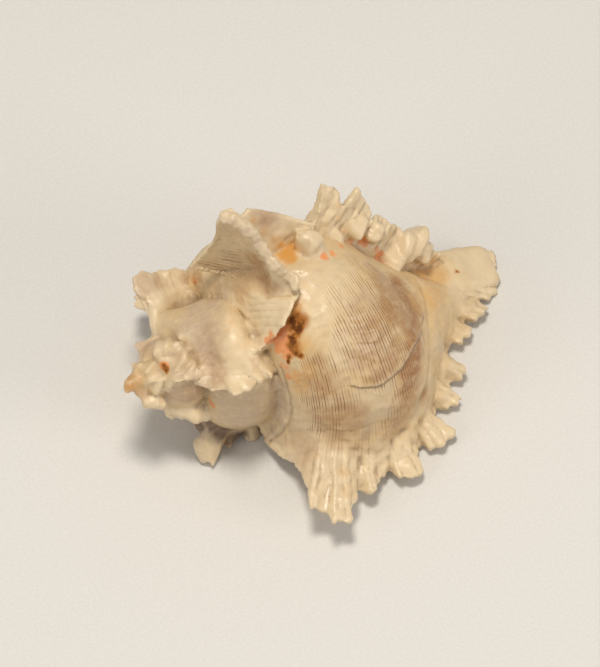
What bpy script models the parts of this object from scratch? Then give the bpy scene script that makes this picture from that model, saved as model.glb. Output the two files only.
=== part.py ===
# A right-handed ramose murex shell, grown as one piece, with three spiny varices to a whorl.
import math

import bmesh
import bpy
import numpy as np
from mathutils import Matrix, Vector

# Units
MM = 0.001

# Growth spiral: the size grows by this factor for each whorl, and growth angle 0 is the outer lip
WHORL_GROWTH = 1.887
FIRST_ANGLE = -1860.0
LAST_ANGLE = 5.0
LIP_BEARING = -38.5
ANGLE_STEP = 8.0

# How the photograph looks at the shell: apex and scale in the picture, and the axis's slope and tilt
APEX_PX = (124.0, 384.5)
PX_PER_MM = 2.75
AXIS_RISE = math.radians(19.1)
AXIS_TILT = math.radians(26.6)
LIP_VIEW = 14.0
LIP_VIEW_TO_CAMERA = LIP_VIEW - 90.0
TOP_VIEW = 131.0

# Section of the whorl at the lip, as distance from the apex and radius in mm, from suture to canal
PROFILE = (
    (53.5, 27.5), (53.5, 33.0), (55.0, 39.0), (59.0, 45.0), (66.0, 50.0), (75.0, 53.0),
    (85.0, 54.0), (95.0, 52.8), (104.0, 49.0), (111.0, 43.0), (118.0, 35.5), (126.0, 27.5),
    (134.0, 21.0), (141.0, 15.5), (146.0, 8.0), (147.0, 0.5),
)
CORE = ((100.0, 0.4), (45.0, 0.4))
FOOT_STEP = 0.125

# Edge of the outer lip in the photograph: place on the profile, x, y, and lead in degrees
LIP_EDGE = (
    (0.0, 262, 436, 34), (0.6, 264, 442, 30), (1.6, 280, 457, 16), (2.4, 295, 463, 7), (3.0, 305, 475, 2),
    (3.2, 310, 492, 0), (3.4, 312, 508, 0), (3.65, 323, 509, 0), (3.8, 329, 514, 0), (3.9, 334, 521, 0),
    (4.0, 337, 516, 0), (4.15, 347, 523, 0), (4.4, 353, 515, 0), (4.6, 355, 498, 0), (4.9, 361, 488, 0),
    (5.05, 372, 492, 0), (5.2, 377, 488, 0), (5.35, 378, 481, 0), (5.7, 386, 474, 0), (6.0, 393, 469, 0),
    (6.15, 401, 477, 0), (6.35, 412, 480, 0), (6.6, 421, 475, 0), (6.75, 425, 468, 0), (6.9, 416, 456, 0),
    (7.1, 418, 448, 0), (7.3, 423, 444, 0), (7.45, 430, 449, 0), (7.8, 441, 446, 0), (8.0, 450, 439, 0),
    (8.15, 454, 432, 0), (8.3, 442, 426, 0), (8.5, 435, 417, 0), (8.7, 435, 410, 0), (9.0, 451, 410, 0),
    (9.45, 463, 400, 0), (9.7, 453, 391, 0), (9.9, 449, 383, 0), (10.2, 462, 379, 0), (10.45, 466, 374, 0),
    (10.6, 462, 366, 0), (10.9, 446, 353, 0), (11.2, 445, 344, 0), (11.6, 464, 343, 0), (12.1, 476, 330, 0),
    (12.3, 462, 321, 0), (12.6, 478, 321, 0), (13.1, 491, 309, 0), (13.4, 480, 299, 0), (13.7, 494, 298, 0),
    (13.9, 501, 292, 0), (14.2, 497, 282, 0), (14.5, 502, 259, 0), (14.7, 498, 248, 0), (14.85, 479, 246, 0),
    (15.0, 448, 250, 0),
)

# Edge of the varix along the top, with the tall shoulder frond that folds forward at its near side
TOP_EDGE = (
    (0.0, 262, 352, 50), (0.6, 265, 345, 47), (1.4, 283, 325, 39), (2.1, 293, 302, 31), (2.7, 298, 290, 26),
    (3.1, 275, 270, 16), (3.6, 255, 240, 7), (4.0, 222, 213, 0), (4.3, 235, 208, 0), (4.7, 250, 208, 0),
    (5.6, 291, 216, 0), (6.4, 315, 223, 0), (6.55, 320, 198, 0), (6.65, 320, 184, 0), (6.9, 335, 186, 0),
    (7.05, 340, 194, 0), (7.2, 342, 203, 0), (7.4, 347, 203, 0), (7.6, 351, 194, 0), (7.75, 356, 187, 0),
    (7.95, 361, 196, 0), (8.6, 369, 206, 0), (9.2, 372, 220, 0), (9.6, 378, 213, 0), (10.5, 392, 223, 0),
    (11.2, 401, 227, 0), (11.6, 404, 239, 0), (12.0, 408, 231, 0), (12.5, 418, 227, 0), (13.0, 428, 234, 0),
    (13.5, 427, 246, 0), (14.2, 440, 250, 0), (15.0, 447, 262, 0),
)

# Edge of the spire's near varix, which overhangs the younger whorl
NEAR_EDGE = (
    (0.0, 203, 386, 8), (1.5, 215, 390, 8), (2.6, 226, 388, 8), (3.2, 234, 394, 8), (3.9, 250, 389, 8),
    (4.4, 253, 382, 8), (5.0, 260, 381, 8), (5.8, 264, 376, 8), (6.6, 272, 377, 8), (8.0, 280, 366, 8),
    (15.0, 320, 340, 8),
)

# Edge of the spire's far varix, with the blunt spine at the left of the picture
FAR_EDGE = (
    (0.0, 157, 336, 0), (1.0, 153, 322, 0), (2.0, 151, 308, 0), (2.8, 148, 299, 0), (3.3, 138, 296, 0),
    (3.7, 132, 288, 0), (4.1, 132, 277, 0), (4.4, 141, 270, 0), (4.8, 152, 273, 0), (5.4, 160, 269, 0),
    (6.0, 166, 271, 0), (6.6, 174, 267, 0), (7.4, 184, 269, 0), (9.0, 196, 276, 0), (15.0, 215, 300, 0),
)

# Varices read in the picture: growth angle, view angle, share of the bend, buttress behind the fronds,
# last place on the profile, and edge
READ_VARICES = (
    (0.0, LIP_VIEW, 1.0, 0.55, 99.0, LIP_EDGE), (-117.0, TOP_VIEW, 1.0, 0.95, 99.0, TOP_EDGE),
    (-413.0, 67.0, 0.0, 0.55, 8.0, NEAR_EDGE), (-536.0, 190.0, 0.5, 0.55, 9.0, FAR_EDGE),
)

# The other varices copy the lip: growth angle, frond size, and the last place that has fronds
COPIED_VARICES = (
    (-216.0, 0.85, 13.0), (-316.0, 0.82, 8.0), (-676.0, 0.35, 9.0), (-773.0, 0.50, 9.0), (-896.0, 0.60, 9.0),
    (-1036.0, 0.50, 9.0), (-1133.0, 0.50, 9.0), (-1256.0, 0.50, 9.0), (-1396.0, 0.50, 9.0),
)

# Rounded lumps in the folds of the top varix: x, y, view angle, radius in mm
LUMPS = (
    (312, 246, 128, 7.5), (331, 236, 131, 5.0), (352, 226, 132, 5.0), (372, 232, 131, 4.5),
    (392, 258, 126, 5.5), (403, 248, 130, 6.0), (416, 242, 132, 6.0), (421, 251, 128, 4.5),
    (194, 411, -8, 4.5), (186, 408, -8, 4.5), (204, 406, -8, 4.0), (127, 385, 0, 1.8), (133, 395, 0, 3.2),
)

# Wall of the tall frond, from its tip down: rim x, y, view angle, keel x, y, view angle, hollow in mm
FIN = (
    (222, 213, 131, 221, 216, 132, 0.0), (240, 226, 127, 217, 228, 134, 1.5),
    (255, 240, 124, 214, 240, 138, 4.0), (275, 266, 115, 205, 253, 143, 8.0),
    (297, 289, 105, 190, 268, 152, 11.0),
)
FIN_THICKNESS = 3.4
FIN_COLUMNS = 9
FIN_ROWS = 13

# Shape of a varix, in mm at the lip: swelling, and the fronds on its crest
SWELL_HEIGHT = 9.0
SWELL_REACH = 19.0
SWELL_POWER = 1.7
FROND_REACH = 3.0
FROND_BUTTRESS = 0.55
FROND_POWER = 1.6
CREST_THICKNESS = 1.9
CREST_DROP = 1.3
CREST_LEAN = 0.22
FROND_BEND = 0.22
FROND_CHANNEL = 3.2
NOTCH_WINDOW = 1.0
FROND_FADE = 1.5
LEAST_FROND = 0.5
LEAST_HEIGHT = 0.01
CHANNEL_LENGTH = 7.0
LEAST_ARM = 8.0
BEND_ROUNDS = 4
STEPS_AT_VARIX = (-34, -26, -20, -15, -11, -8.5, -6.5, -5, -3.8, -2.8, -2, -1.2, 0, 0.7, 1.5, 2.6, 5)
STEP_GAP = 2.0
LEAD_LIMIT = 12.0
LEAD_HOLD = 10.0
LEAD_BACK = 40.0
LEAD_FRONT = 100.0

# Siphonal canal: distance from the apex, radius towards the lip, half width and half thickness
CANAL = (
    (92.0, 4.0, 13.0, 12.0), (115.0, 3.0, 12.0, 10.0), (128.0, 2.0, 11.0, 8.0), (140.0, 1.5, 10.0, 6.0),
    (150.0, 2.0, 8.8, 4.6), (155.5, 2.8, 8.0, 3.8), (158.0, 3.0, 6.5, 2.6),
)
CANAL_SIDES = 24
CANAL_SQUARENESS = 0.6
LUMP_SIDES = 14
LUMP_RINGS = 9
LUMP_SLOPE = math.radians(82)

# Aperture: centre and half sizes of the hollow at the lip, and how far back it goes
HOLLOW_CENTRE = (86.0, 29.5)
HOLLOW_HALF = (25.5, 15.5)
HOLLOW_START = 12.0
HOLLOW_END = -190.0
HOLLOW_NARROWEST = 0.25
HOLLOW_WIDENING = 90.0
HOLLOW_SIDES = 20
SLIT_FROM = (104.0, 15.0)
SLIT_TO = (166.0, 4.5)
SLIT_HALF_WIDTH = 1.5
SLIT_FLARE = 2.2
SLIT_FLOOR = -0.5
SLIT_TOP = 18.0

# Fusing and resting
VOXEL = 1.05
FUSED_TRIANGLES = 8600
REST_DOWN = (0.259, 0.342, -0.903)
REST_SHIFT = (-76.71, 16.3, 45.07)
GROUND_SIDE = 120.0
GROUND_DEPTH = 6.0

# Finish
SHELL_COLOUR = (0.80, 0.70, 0.54, 1.0)
SHELL_ROUGHNESS = 0.5
SHARP_ANGLE = math.radians(55)


def clear_scene():
    for item in list(bpy.data.objects):
        bpy.data.objects.remove(item, do_unlink=True)


def growth(angle):
    return WHORL_GROWTH ** (np.asarray(angle, float) / 360.0)


# Smooth curve through control points, at fractional indices
def smooth_curve(points, places):
    points = np.asarray(points, float)
    padded = np.vstack([2 * points[0] - points[1], points, 2 * points[-1] - points[-2]])
    first = np.clip(np.floor(places).astype(int), 0, len(points) - 2)
    part = (places - first)[:, None]
    a, b, c, d = (padded[first + k] for k in range(4))
    return b + 0.5 * part * (c - a + part * (2 * a - 5 * b + 4 * c - d + part * (3 * (b - c) + d - a)))


# Distance along the axis and radius of a picture point that lies at one angle round the axis
def picture_to_half_plane(x, y, view_angle):
    across = x - APEX_PX[0]
    down = y - APEX_PX[1]
    along = (across * math.cos(AXIS_RISE) - down * math.sin(AXIS_RISE)) / PX_PER_MM
    aside = (across * math.sin(AXIS_RISE) + down * math.cos(AXIS_RISE)) / PX_PER_MM
    turn = np.radians(view_angle)
    radius = aside / np.cos(turn)
    return (along - radius * math.sin(AXIS_TILT) * np.sin(turn)) / math.cos(AXIS_TILT), radius


# Points of the shell from axial distance, radius and growth angle: the apex is at -X, the camera at -Y
def to_space(distance, radius, angle):
    bearing = np.radians(LIP_BEARING - angle)
    return np.stack([distance + 0 * bearing, -radius * np.cos(bearing), radius * np.sin(bearing)], axis=-1)


# Edge of a varix read in the picture, whose fronds are bent back by an angle at each place
def edge_curve(edge, view_angle, feet, bend):
    rows = np.array(edge, float)
    lead = rows[:, 3]
    turn = view_angle - lead + np.interp(rows[:, 0], feet, bend)
    distance, radius = picture_to_half_plane(rows[:, 1], rows[:, 2], turn)
    return rows[:, 0], distance, radius, lead


# Crest of one varix over all places of the profile: crest points, notch level, lead and channel
def make_crest(angle, feet, base, curve, bending, buttress, frond_size, last_frond):
    places, distance, radius, lead = curve
    size = growth(angle)
    crest = np.stack([np.interp(feet, places, distance), np.interp(feet, places, radius)], axis=-1)
    foot_points = base * growth(angle + np.interp(feet, places, lead))[:, None]
    rise = crest - foot_points
    height = np.hypot(rise[:, 0], rise[:, 1])
    level = np.array([height[np.abs(feet - place) <= NOTCH_WINDOW].min() for place in feet])
    level = np.minimum(level, SWELL_HEIGHT * size)
    level = np.array([level[np.abs(feet - place) <= NOTCH_WINDOW / 2].mean() for place in feet])
    share = np.clip(level / np.maximum(height, LEAST_HEIGHT), 0, 1)
    fade = np.clip((last_frond - feet) / FROND_FADE, 0, 1)
    notch = foot_points + rise * (share * fade)[:, None]
    tips = notch + (crest - notch) * (frond_size * fade)[:, None]
    length = np.hypot(*(tips - notch).T)
    lows = [feet[0]]
    for k in range(1, len(feet) - 1):
        if length[k] <= length[k - 1] and length[k] < length[k + 1] and feet[k] - lows[-1] > LEAST_FROND:
            lows.append(feet[k])
    lows.append(feet[-1])
    after = np.clip(np.searchsorted(lows, feet, side="right"), 1, len(lows) - 1)
    lows = np.array(lows)
    middle = 0.5 * (lows[after] + lows[after - 1])
    half = 0.5 * (lows[after] - lows[after - 1])
    hollow = np.clip(1 - ((feet - middle) / half) ** 2, 0, 1) * np.clip(length / (CHANNEL_LENGTH * size), 0, 1)
    rim = np.hypot(*(notch - foot_points).T)
    leading = np.interp(feet, places, lead)
    upright = np.clip(1 - leading / LEAD_LIMIT, 0, 1)
    back = bending * upright * (FROND_BEND * length + FROND_CHANNEL * size * hollow)
    return {"angle": angle, "size": size, "notch": notch, "tips": tips, "rim": rim, "back": back,
            "reach": (FROND_REACH * size + buttress * length) / math.sqrt(size),
            "arm": np.maximum(np.abs(tips[:, 1]), LEAST_ARM * size),
            "lead": leading, "foot_points": foot_points}


def all_crests(feet, base):
    crests = []
    curves = []
    for angle, view_angle, bending, buttress, last_place, edge in READ_VARICES:
        bend = np.zeros(len(feet))
        for _ in range(BEND_ROUNDS):
            curve = edge_curve(edge, view_angle, feet, bend)
            crest = make_crest(angle, feet, base, curve, bending, buttress, 1.0, last_place)
            bend = np.degrees(crest["back"] / crest["arm"])
        crests.append(crest)
        curves.append(curve)
    lip = curves[0]
    for angle, frond_size, last_frond in COPIED_VARICES:
        size = growth(angle)
        copy = (lip[0], lip[1] * size, lip[2] * size, lip[3])
        crests.append(make_crest(angle, feet, base, copy, 1.0, FROND_BUTTRESS, frond_size, last_frond))
    return crests


# Share of the full height at a distance in mm behind (-) or in front of (+) the crest
def rise_share(offset, reach, power):
    behind = np.clip(1 + (offset + CREST_THICKNESS) / reach, 0, 1) ** power
    ahead = np.clip(1 - offset / CREST_DROP, 0, 1)
    return np.minimum(behind, 1) * ahead


# One ring of the sweep: the profile at a growth angle, with the varices that reach it
def ring(angle, base, crests):
    lead = np.zeros(len(base))
    for crest in crests:
        delta = angle - crest["angle"]
        if delta <= 0:
            weight = np.clip(1 + (delta + LEAD_HOLD) / LEAD_BACK, 0, 1)
        else:
            weight = np.clip(1 - delta / LEAD_FRONT, 0, 1)
        lead = np.maximum(lead, crest["lead"] * weight)
    turned = angle + lead
    shape = base * growth(turned)[:, None]
    shift = np.zeros(len(base))
    for crest in crests:
        delta = angle - crest["angle"]
        if not STEPS_AT_VARIX[0] <= delta <= STEPS_AT_VARIX[-1]:
            continue
        size = crest["size"]
        arm = crest["arm"]
        thick = math.sqrt(size)
        offset = np.radians(delta) * arm / thick
        swell = rise_share(offset, SWELL_REACH * thick, SWELL_POWER)
        frond = rise_share(offset, crest["reach"], FROND_POWER)
        shape = shape + swell[:, None] * (crest["notch"] - crest["foot_points"])
        shape = shape + frond[:, None] * (crest["tips"] - crest["notch"])
        shift = shift + (CREST_LEAN * crest["rim"] * swell - crest["back"] * frond) / arm
    return to_space(shape[:, 0], shape[:, 1], turned + np.degrees(shift))


def growth_steps():
    angles = set(np.arange(FIRST_ANGLE, LAST_ANGLE, ANGLE_STEP))
    centres = [row[0] for row in READ_VARICES + COPIED_VARICES]
    for centre in centres:
        first = centre + STEPS_AT_VARIX[0] - STEP_GAP
        last = centre + STEPS_AT_VARIX[-1] + STEP_GAP
        angles = {a for a in angles if not first < a < last}
    for centre in centres:
        angles |= {centre + step for step in STEPS_AT_VARIX if centre + step <= LAST_ANGLE}
    return sorted(angles)


# Closed mesh from a stack of rings, each end closed by a fan
def skin_rings(name, rings):
    count = len(rings[0])
    points = np.vstack(list(rings) + [rings[0].mean(axis=0)[None], rings[-1].mean(axis=0)[None]])
    faces = []
    for row in range(len(rings) - 1):
        for k in range(count):
            n = (k + 1) % count
            faces.append((row * count + k, row * count + n, (row + 1) * count + n, (row + 1) * count + k))
    first_hub = len(rings) * count
    last_row = (len(rings) - 1) * count
    for k in range(count):
        n = (k + 1) % count
        faces.append((first_hub, n, k))
        faces.append((first_hub + 1, last_row + k, last_row + n))
    mesh = bpy.data.meshes.new(name)
    mesh.from_pydata((points * MM).tolist(), [], faces)
    made = bpy.data.objects.new(name, mesh)
    bpy.context.scene.collection.objects.link(made)
    return made


def make_whorls():
    places = set(np.arange(0, len(PROFILE) - 1 + FOOT_STEP / 2, FOOT_STEP))
    places |= {row[0] for row in LIP_EDGE + TOP_EDGE + NEAR_EDGE + FAR_EDGE}
    feet = np.array(sorted(places))
    base = smooth_curve(PROFILE, feet)
    crests = all_crests(feet, base)
    rings = []
    for angle in growth_steps():
        core = np.array(CORE) * growth(angle)
        rings.append(np.vstack([ring(angle, base, crests), to_space(core[:, 0], core[:, 1], angle)]))
    return skin_rings("whorls", rings)


# Directions in the plane of the lip: towards the lip, and the way that the shell grows
def lip_directions():
    bearing = math.radians(LIP_BEARING)
    outward = np.array([0.0, -math.cos(bearing), math.sin(bearing)])
    onward = np.array([0.0, -math.sin(bearing), -math.cos(bearing)])
    return outward, onward


def make_canal():
    outward, onward = lip_directions()
    turns = np.linspace(0, 2 * math.pi, CANAL_SIDES, endpoint=False)
    rings = []
    for distance, radius, half_width, half_thickness in CANAL:
        centre = np.array([distance, 0.0, 0.0]) + radius * outward
        cosine, sine = np.cos(turns), np.sin(turns)
        wide = np.sign(cosine) * np.abs(cosine) ** CANAL_SQUARENESS * half_width
        deep = np.sign(sine) * np.abs(sine) ** CANAL_SQUARENESS * half_thickness
        rings.append(centre + wide[:, None] * outward + deep[:, None] * onward)
    return skin_rings("canal", rings)


def make_lumps():
    made = []
    turns = np.linspace(0, 2 * math.pi, LUMP_SIDES, endpoint=False)
    for x, y, view_angle, radius in LUMPS:
        distance, reach = picture_to_half_plane(x, y, view_angle)
        centre = to_space(distance, reach, LIP_VIEW - view_angle)
        rings = []
        for slope in np.linspace(-LUMP_SLOPE, LUMP_SLOPE, LUMP_RINGS):
            belt = np.cos(slope) * np.stack([0 * turns, np.cos(turns), np.sin(turns)], axis=1)
            rings.append(centre + radius * (belt + (np.sin(slope), 0, 0)))
        made.append(skin_rings("lump", rings))
    return made


def make_hollow():
    turns = np.linspace(0, 2 * math.pi, HOLLOW_SIDES, endpoint=False)
    rings = []
    for angle in np.arange(HOLLOW_END, HOLLOW_START + 1, ANGLE_STEP):
        size = growth(angle)
        narrow = min(1.0, HOLLOW_NARROWEST + (angle - HOLLOW_END) / HOLLOW_WIDENING)
        distance = size * (HOLLOW_CENTRE[0] + narrow * HOLLOW_HALF[0] * np.cos(turns))
        radius = size * (HOLLOW_CENTRE[1] + narrow * HOLLOW_HALF[1] * np.sin(turns))
        rings.append(to_space(distance, radius, angle))
    return skin_rings("hollow", rings)


def make_slit():
    outward, onward = lip_directions()
    rings = []
    for distance, radius in (SLIT_FROM, SLIT_TO):
        centre = np.array([distance, 0.0, 0.0]) + radius * outward
        corners = ((-1, SLIT_FLOOR), (1, SLIT_FLOOR), (SLIT_FLARE, SLIT_TOP), (-SLIT_FLARE, SLIT_TOP))
        rings.append(np.array([centre + a * SLIT_HALF_WIDTH * outward + b * onward for a, b in corners]))
    return skin_rings("slit", rings)


# Direction from the shell to the camera
def camera_direction():
    bearing = math.radians(LIP_BEARING - LIP_VIEW_TO_CAMERA)
    level = math.cos(AXIS_TILT)
    return np.array([-math.sin(AXIS_TILT), -level * math.cos(bearing), level * math.sin(bearing)])


def make_fin():
    away = -camera_direction()
    rows = smooth_curve(FIN, np.linspace(0, len(FIN) - 1, FIN_ROWS))
    rings = []
    for rim_x, rim_y, rim_view, keel_x, keel_y, keel_view, hollow in rows:
        rim = to_space(*picture_to_half_plane(rim_x, rim_y, rim_view), LIP_VIEW - rim_view)
        keel = to_space(*picture_to_half_plane(keel_x, keel_y, keel_view), LIP_VIEW - keel_view)
        share = np.linspace(0, 1, FIN_COLUMNS)[:, None]
        outer = rim + (keel - rim) * share + away * hollow * 4 * share * (1 - share)
        rings.append(np.vstack([outer, outer[::-1] + away * FIN_THICKNESS]))
    return skin_rings("fin", rings)


def apply_modifiers(item):
    graph = bpy.context.evaluated_depsgraph_get()
    mesh = bpy.data.meshes.new_from_object(item.evaluated_get(graph), depsgraph=graph)
    item.modifiers.clear()
    old = item.data
    item.data = mesh
    bpy.data.meshes.remove(old)


def face_outwards(item):
    mesh = bmesh.new()
    mesh.from_mesh(item.data)
    bmesh.ops.recalc_face_normals(mesh, faces=mesh.faces)
    mesh.to_mesh(item.data)
    mesh.free()


# Joins the overlapping solids into one skin
def fuse(pieces, name):
    points = []
    faces = []
    for piece in pieces:
        start = len(points)
        points += [tuple(v.co) for v in piece.data.vertices]
        faces += [tuple(start + k for k in face.vertices) for face in piece.data.polygons]
        bpy.data.objects.remove(piece, do_unlink=True)
    mesh = bpy.data.meshes.new(name)
    mesh.from_pydata(points, [], faces)
    fused = bpy.data.objects.new(name, mesh)
    bpy.context.scene.collection.objects.link(fused)
    remesh = fused.modifiers.new("fuse", "REMESH")
    remesh.mode = "VOXEL"
    remesh.voxel_size = VOXEL * MM
    apply_modifiers(fused)
    return fused


def reduce_triangles(item, target):
    triangulate = item.modifiers.new("triangles", "TRIANGULATE")
    triangulate.quad_method = "SHORTEST_DIAGONAL"
    apply_modifiers(item)
    decimate = item.modifiers.new("reduce", "DECIMATE")
    decimate.ratio = target / len(item.data.polygons)
    apply_modifiers(item)


def cut(item, cutter):
    cutter.hide_render = True
    cutter.display_type = "WIRE"
    boolean = item.modifiers.new("cut", "BOOLEAN")
    boolean.operation = "DIFFERENCE"
    boolean.solver = "EXACT"
    boolean.object = cutter
    apply_modifiers(item)
    bpy.data.objects.remove(cutter, do_unlink=True)


# Turns the shell to the way it rests, and wears small flats where it touches the ground
def settle(item):
    turn = Vector(REST_DOWN).rotation_difference(Vector((0.0, 0.0, -1.0))).to_matrix().to_4x4()
    item.data.transform(turn)
    item.data.transform(Matrix.Translation(Vector(REST_SHIFT) * MM))
    corners = GROUND_SIDE * np.array([(-1.0, -1.0), (1.0, -1.0), (1.0, 1.0), (-1.0, 1.0)])
    ground = skin_rings("ground", [np.column_stack([corners, np.full(4, z)]) for z in (-GROUND_DEPTH, 0.0)])
    face_outwards(ground)
    cut(item, ground)


def make_material():
    material = bpy.data.materials.new("ivory_shell")
    material.use_nodes = True
    shader = material.node_tree.nodes["Principled BSDF"]
    shader.inputs["Base Color"].default_value = SHELL_COLOUR
    shader.inputs["Roughness"].default_value = SHELL_ROUGHNESS
    shader.inputs["Metallic"].default_value = 0.0
    return material


def main():
    clear_scene()
    shell = fuse([make_whorls(), make_canal(), make_fin()] + make_lumps(), "murex_shell")
    reduce_triangles(shell, FUSED_TRIANGLES)
    for cutter in (make_hollow(), make_slit()):
        face_outwards(cutter)
        cut(shell, cutter)
    settle(shell)
    shell.data.materials.clear()
    shell.data.materials.append(make_material())
    shell.data.shade_smooth()
    shell.data.set_sharp_from_angle(angle=SHARP_ANGLE)


main()
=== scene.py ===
import math

import bpy
import numpy as np
from mathutils import Matrix, Vector, noise
from mathutils.bvhtree import BVHTree


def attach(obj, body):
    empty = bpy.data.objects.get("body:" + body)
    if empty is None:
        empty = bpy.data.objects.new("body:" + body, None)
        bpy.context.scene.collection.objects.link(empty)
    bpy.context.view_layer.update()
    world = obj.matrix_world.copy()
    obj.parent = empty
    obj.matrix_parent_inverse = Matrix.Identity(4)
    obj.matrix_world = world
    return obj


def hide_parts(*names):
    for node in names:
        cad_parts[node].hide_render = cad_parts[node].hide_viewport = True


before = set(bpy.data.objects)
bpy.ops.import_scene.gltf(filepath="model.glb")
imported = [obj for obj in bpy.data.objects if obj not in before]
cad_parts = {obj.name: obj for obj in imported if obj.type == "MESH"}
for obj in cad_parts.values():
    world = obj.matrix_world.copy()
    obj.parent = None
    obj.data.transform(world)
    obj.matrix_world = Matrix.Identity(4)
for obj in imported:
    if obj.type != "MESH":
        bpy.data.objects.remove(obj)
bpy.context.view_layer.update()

# Units
MM = 0.001
FULL_TURN = 360.0

# Growth spiral: the size grows by this factor for each whorl, and growth angle 0 is the outer lip
WHORL_GROWTH = 1.887
FIRST_ANGLE = -1860.0
LAST_ANGLE = 5.0
LIP_BEARING = -38.5
ANGLE_STEP = 2.5

# How the photograph looks at the shell: apex and scale in the picture, and the axis's slope and tilt
APEX_PX = (124.0, 384.5)
PX_PER_MM = 2.75
AXIS_RISE = math.radians(19.1)
AXIS_TILT = math.radians(26.6)
LIP_VIEW = 14.0
TOP_VIEW = 131.0

# Section of the whorl at the lip, as distance from the apex and radius in mm, from suture to canal
PROFILE = (
    (53.5, 27.5), (53.5, 33.0), (55.0, 39.0), (59.0, 45.0), (66.0, 50.0), (75.0, 53.0),
    (85.0, 54.0), (95.0, 52.8), (104.0, 49.0), (111.0, 43.0), (118.0, 35.5), (126.0, 27.5),
    (134.0, 21.0), (141.0, 15.5), (146.0, 8.0), (147.0, 0.5),
)
CORE = ((100.0, 0.4), (45.0, 0.4))
FOOT_STEP = 0.06

# Edge of the outer lip in the photograph: place on the profile, x, y, and lead in degrees
LIP_EDGE = (
    (0.0, 262, 436, 34), (0.6, 264, 442, 30), (1.6, 280, 457, 16), (2.4, 295, 463, 7), (3.0, 305, 475, 2),
    (3.2, 310, 492, 0), (3.4, 312, 508, 0), (3.65, 323, 509, 0), (3.8, 329, 514, 0), (3.9, 334, 521, 0),
    (4.0, 337, 516, 0), (4.15, 347, 523, 0), (4.4, 353, 515, 0), (4.6, 355, 498, 0), (4.9, 361, 488, 0),
    (5.05, 372, 492, 0), (5.2, 377, 488, 0), (5.35, 378, 481, 0), (5.7, 386, 474, 0), (6.0, 393, 469, 0),
    (6.15, 401, 477, 0), (6.35, 412, 480, 0), (6.6, 421, 475, 0), (6.75, 425, 468, 0), (6.9, 416, 456, 0),
    (7.1, 418, 448, 0), (7.3, 423, 444, 0), (7.45, 430, 449, 0), (7.8, 441, 446, 0), (8.0, 450, 439, 0),
    (8.15, 454, 432, 0), (8.3, 442, 426, 0), (8.5, 435, 417, 0), (8.7, 435, 410, 0), (9.0, 451, 410, 0),
    (9.45, 463, 400, 0), (9.7, 453, 391, 0), (9.9, 449, 383, 0), (10.2, 462, 379, 0), (10.45, 466, 374, 0),
    (10.6, 462, 366, 0), (10.9, 446, 353, 0), (11.2, 445, 344, 0), (11.6, 464, 343, 0), (12.1, 476, 330, 0),
    (12.3, 462, 321, 0), (12.6, 478, 321, 0), (13.1, 491, 309, 0), (13.4, 480, 299, 0), (13.7, 494, 298, 0),
    (13.9, 501, 292, 0), (14.2, 497, 282, 0), (14.5, 502, 259, 0), (14.7, 498, 248, 0),
    (14.85, 479, 246, 0), (15.0, 448, 250, 0),
)

# Edge of the varix along the top, with the tall shoulder frond that folds forward at its near side
TOP_EDGE = (
    (0.0, 262, 352, 50), (0.6, 265, 345, 47), (1.4, 283, 325, 39), (2.1, 293, 302, 31), (2.7, 298, 290, 26),
    (3.1, 275, 270, 16), (3.6, 255, 240, 7), (4.0, 222, 213, 0), (4.15, 232, 210, 0), (4.4, 242, 217, 0),
    (4.6, 248, 209, 0), (4.9, 256, 209, 0), (5.6, 291, 216, 0), (6.4, 315, 223, 0), (6.55, 320, 198, 0),
    (6.65, 320, 184, 0), (6.9, 335, 186, 0), (7.05, 340, 194, 0), (7.2, 342, 203, 0), (7.4, 347, 203, 0),
    (7.6, 351, 194, 0), (7.75, 356, 187, 0), (7.95, 361, 196, 0), (8.6, 369, 206, 0), (9.2, 372, 220, 0),
    (9.6, 378, 213, 0), (10.5, 392, 223, 0), (11.2, 401, 227, 0), (11.6, 404, 239, 0), (12.0, 408, 231, 0),
    (12.5, 418, 227, 0), (13.0, 428, 234, 0), (13.5, 427, 246, 0), (14.2, 440, 250, 0), (15.0, 447, 262, 0),
)

# Edge of the spire's near varix, which overhangs the younger whorl
NEAR_EDGE = (
    (0.0, 203, 386, 8), (1.5, 215, 390, 8), (2.6, 226, 388, 8), (3.2, 234, 394, 8), (3.9, 250, 389, 8),
    (4.4, 253, 382, 8), (5.0, 260, 381, 8), (5.8, 264, 376, 8), (6.6, 272, 377, 8), (8.0, 280, 366, 8),
    (15.0, 320, 340, 8),
)

# Edge of the spire's far varix, with the blunt spine at the left of the picture
FAR_EDGE = (
    (0.0, 157, 336, 0), (1.0, 153, 322, 0), (2.0, 151, 308, 0), (2.8, 148, 299, 0), (3.3, 138, 296, 0),
    (3.7, 132, 288, 0), (4.1, 132, 277, 0), (4.4, 141, 270, 0), (4.8, 152, 273, 0), (5.4, 160, 269, 0),
    (6.0, 166, 271, 0), (6.6, 174, 267, 0), (7.4, 184, 269, 0), (9.0, 196, 276, 0), (15.0, 215, 300, 0),
)

# Varices read in the picture: growth angle, view angle, share of the bend, buttress behind the fronds,
# last place on the profile, and edge
READ_VARICES = (
    (0.0, LIP_VIEW, 1.0, 0.55, 99.0, LIP_EDGE), (-117.0, TOP_VIEW, 1.0, 0.95, 99.0, TOP_EDGE),
    (-413.0, 67.0, 0.0, 0.55, 8.0, NEAR_EDGE), (-536.0, 190.0, 0.5, 0.55, 9.0, FAR_EDGE),
)

# The other varices copy the lip: growth angle, frond size, and the last place that has fronds
COPIED_VARICES = (
    (-216.0, 0.85, 13.0), (-316.0, 0.82, 8.0), (-676.0, 0.35, 9.0), (-773.0, 0.50, 9.0), (-896.0, 0.60, 9.0),
    (-1036.0, 0.50, 9.0), (-1133.0, 0.50, 9.0), (-1256.0, 0.50, 9.0), (-1396.0, 0.50, 9.0),
)

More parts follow.
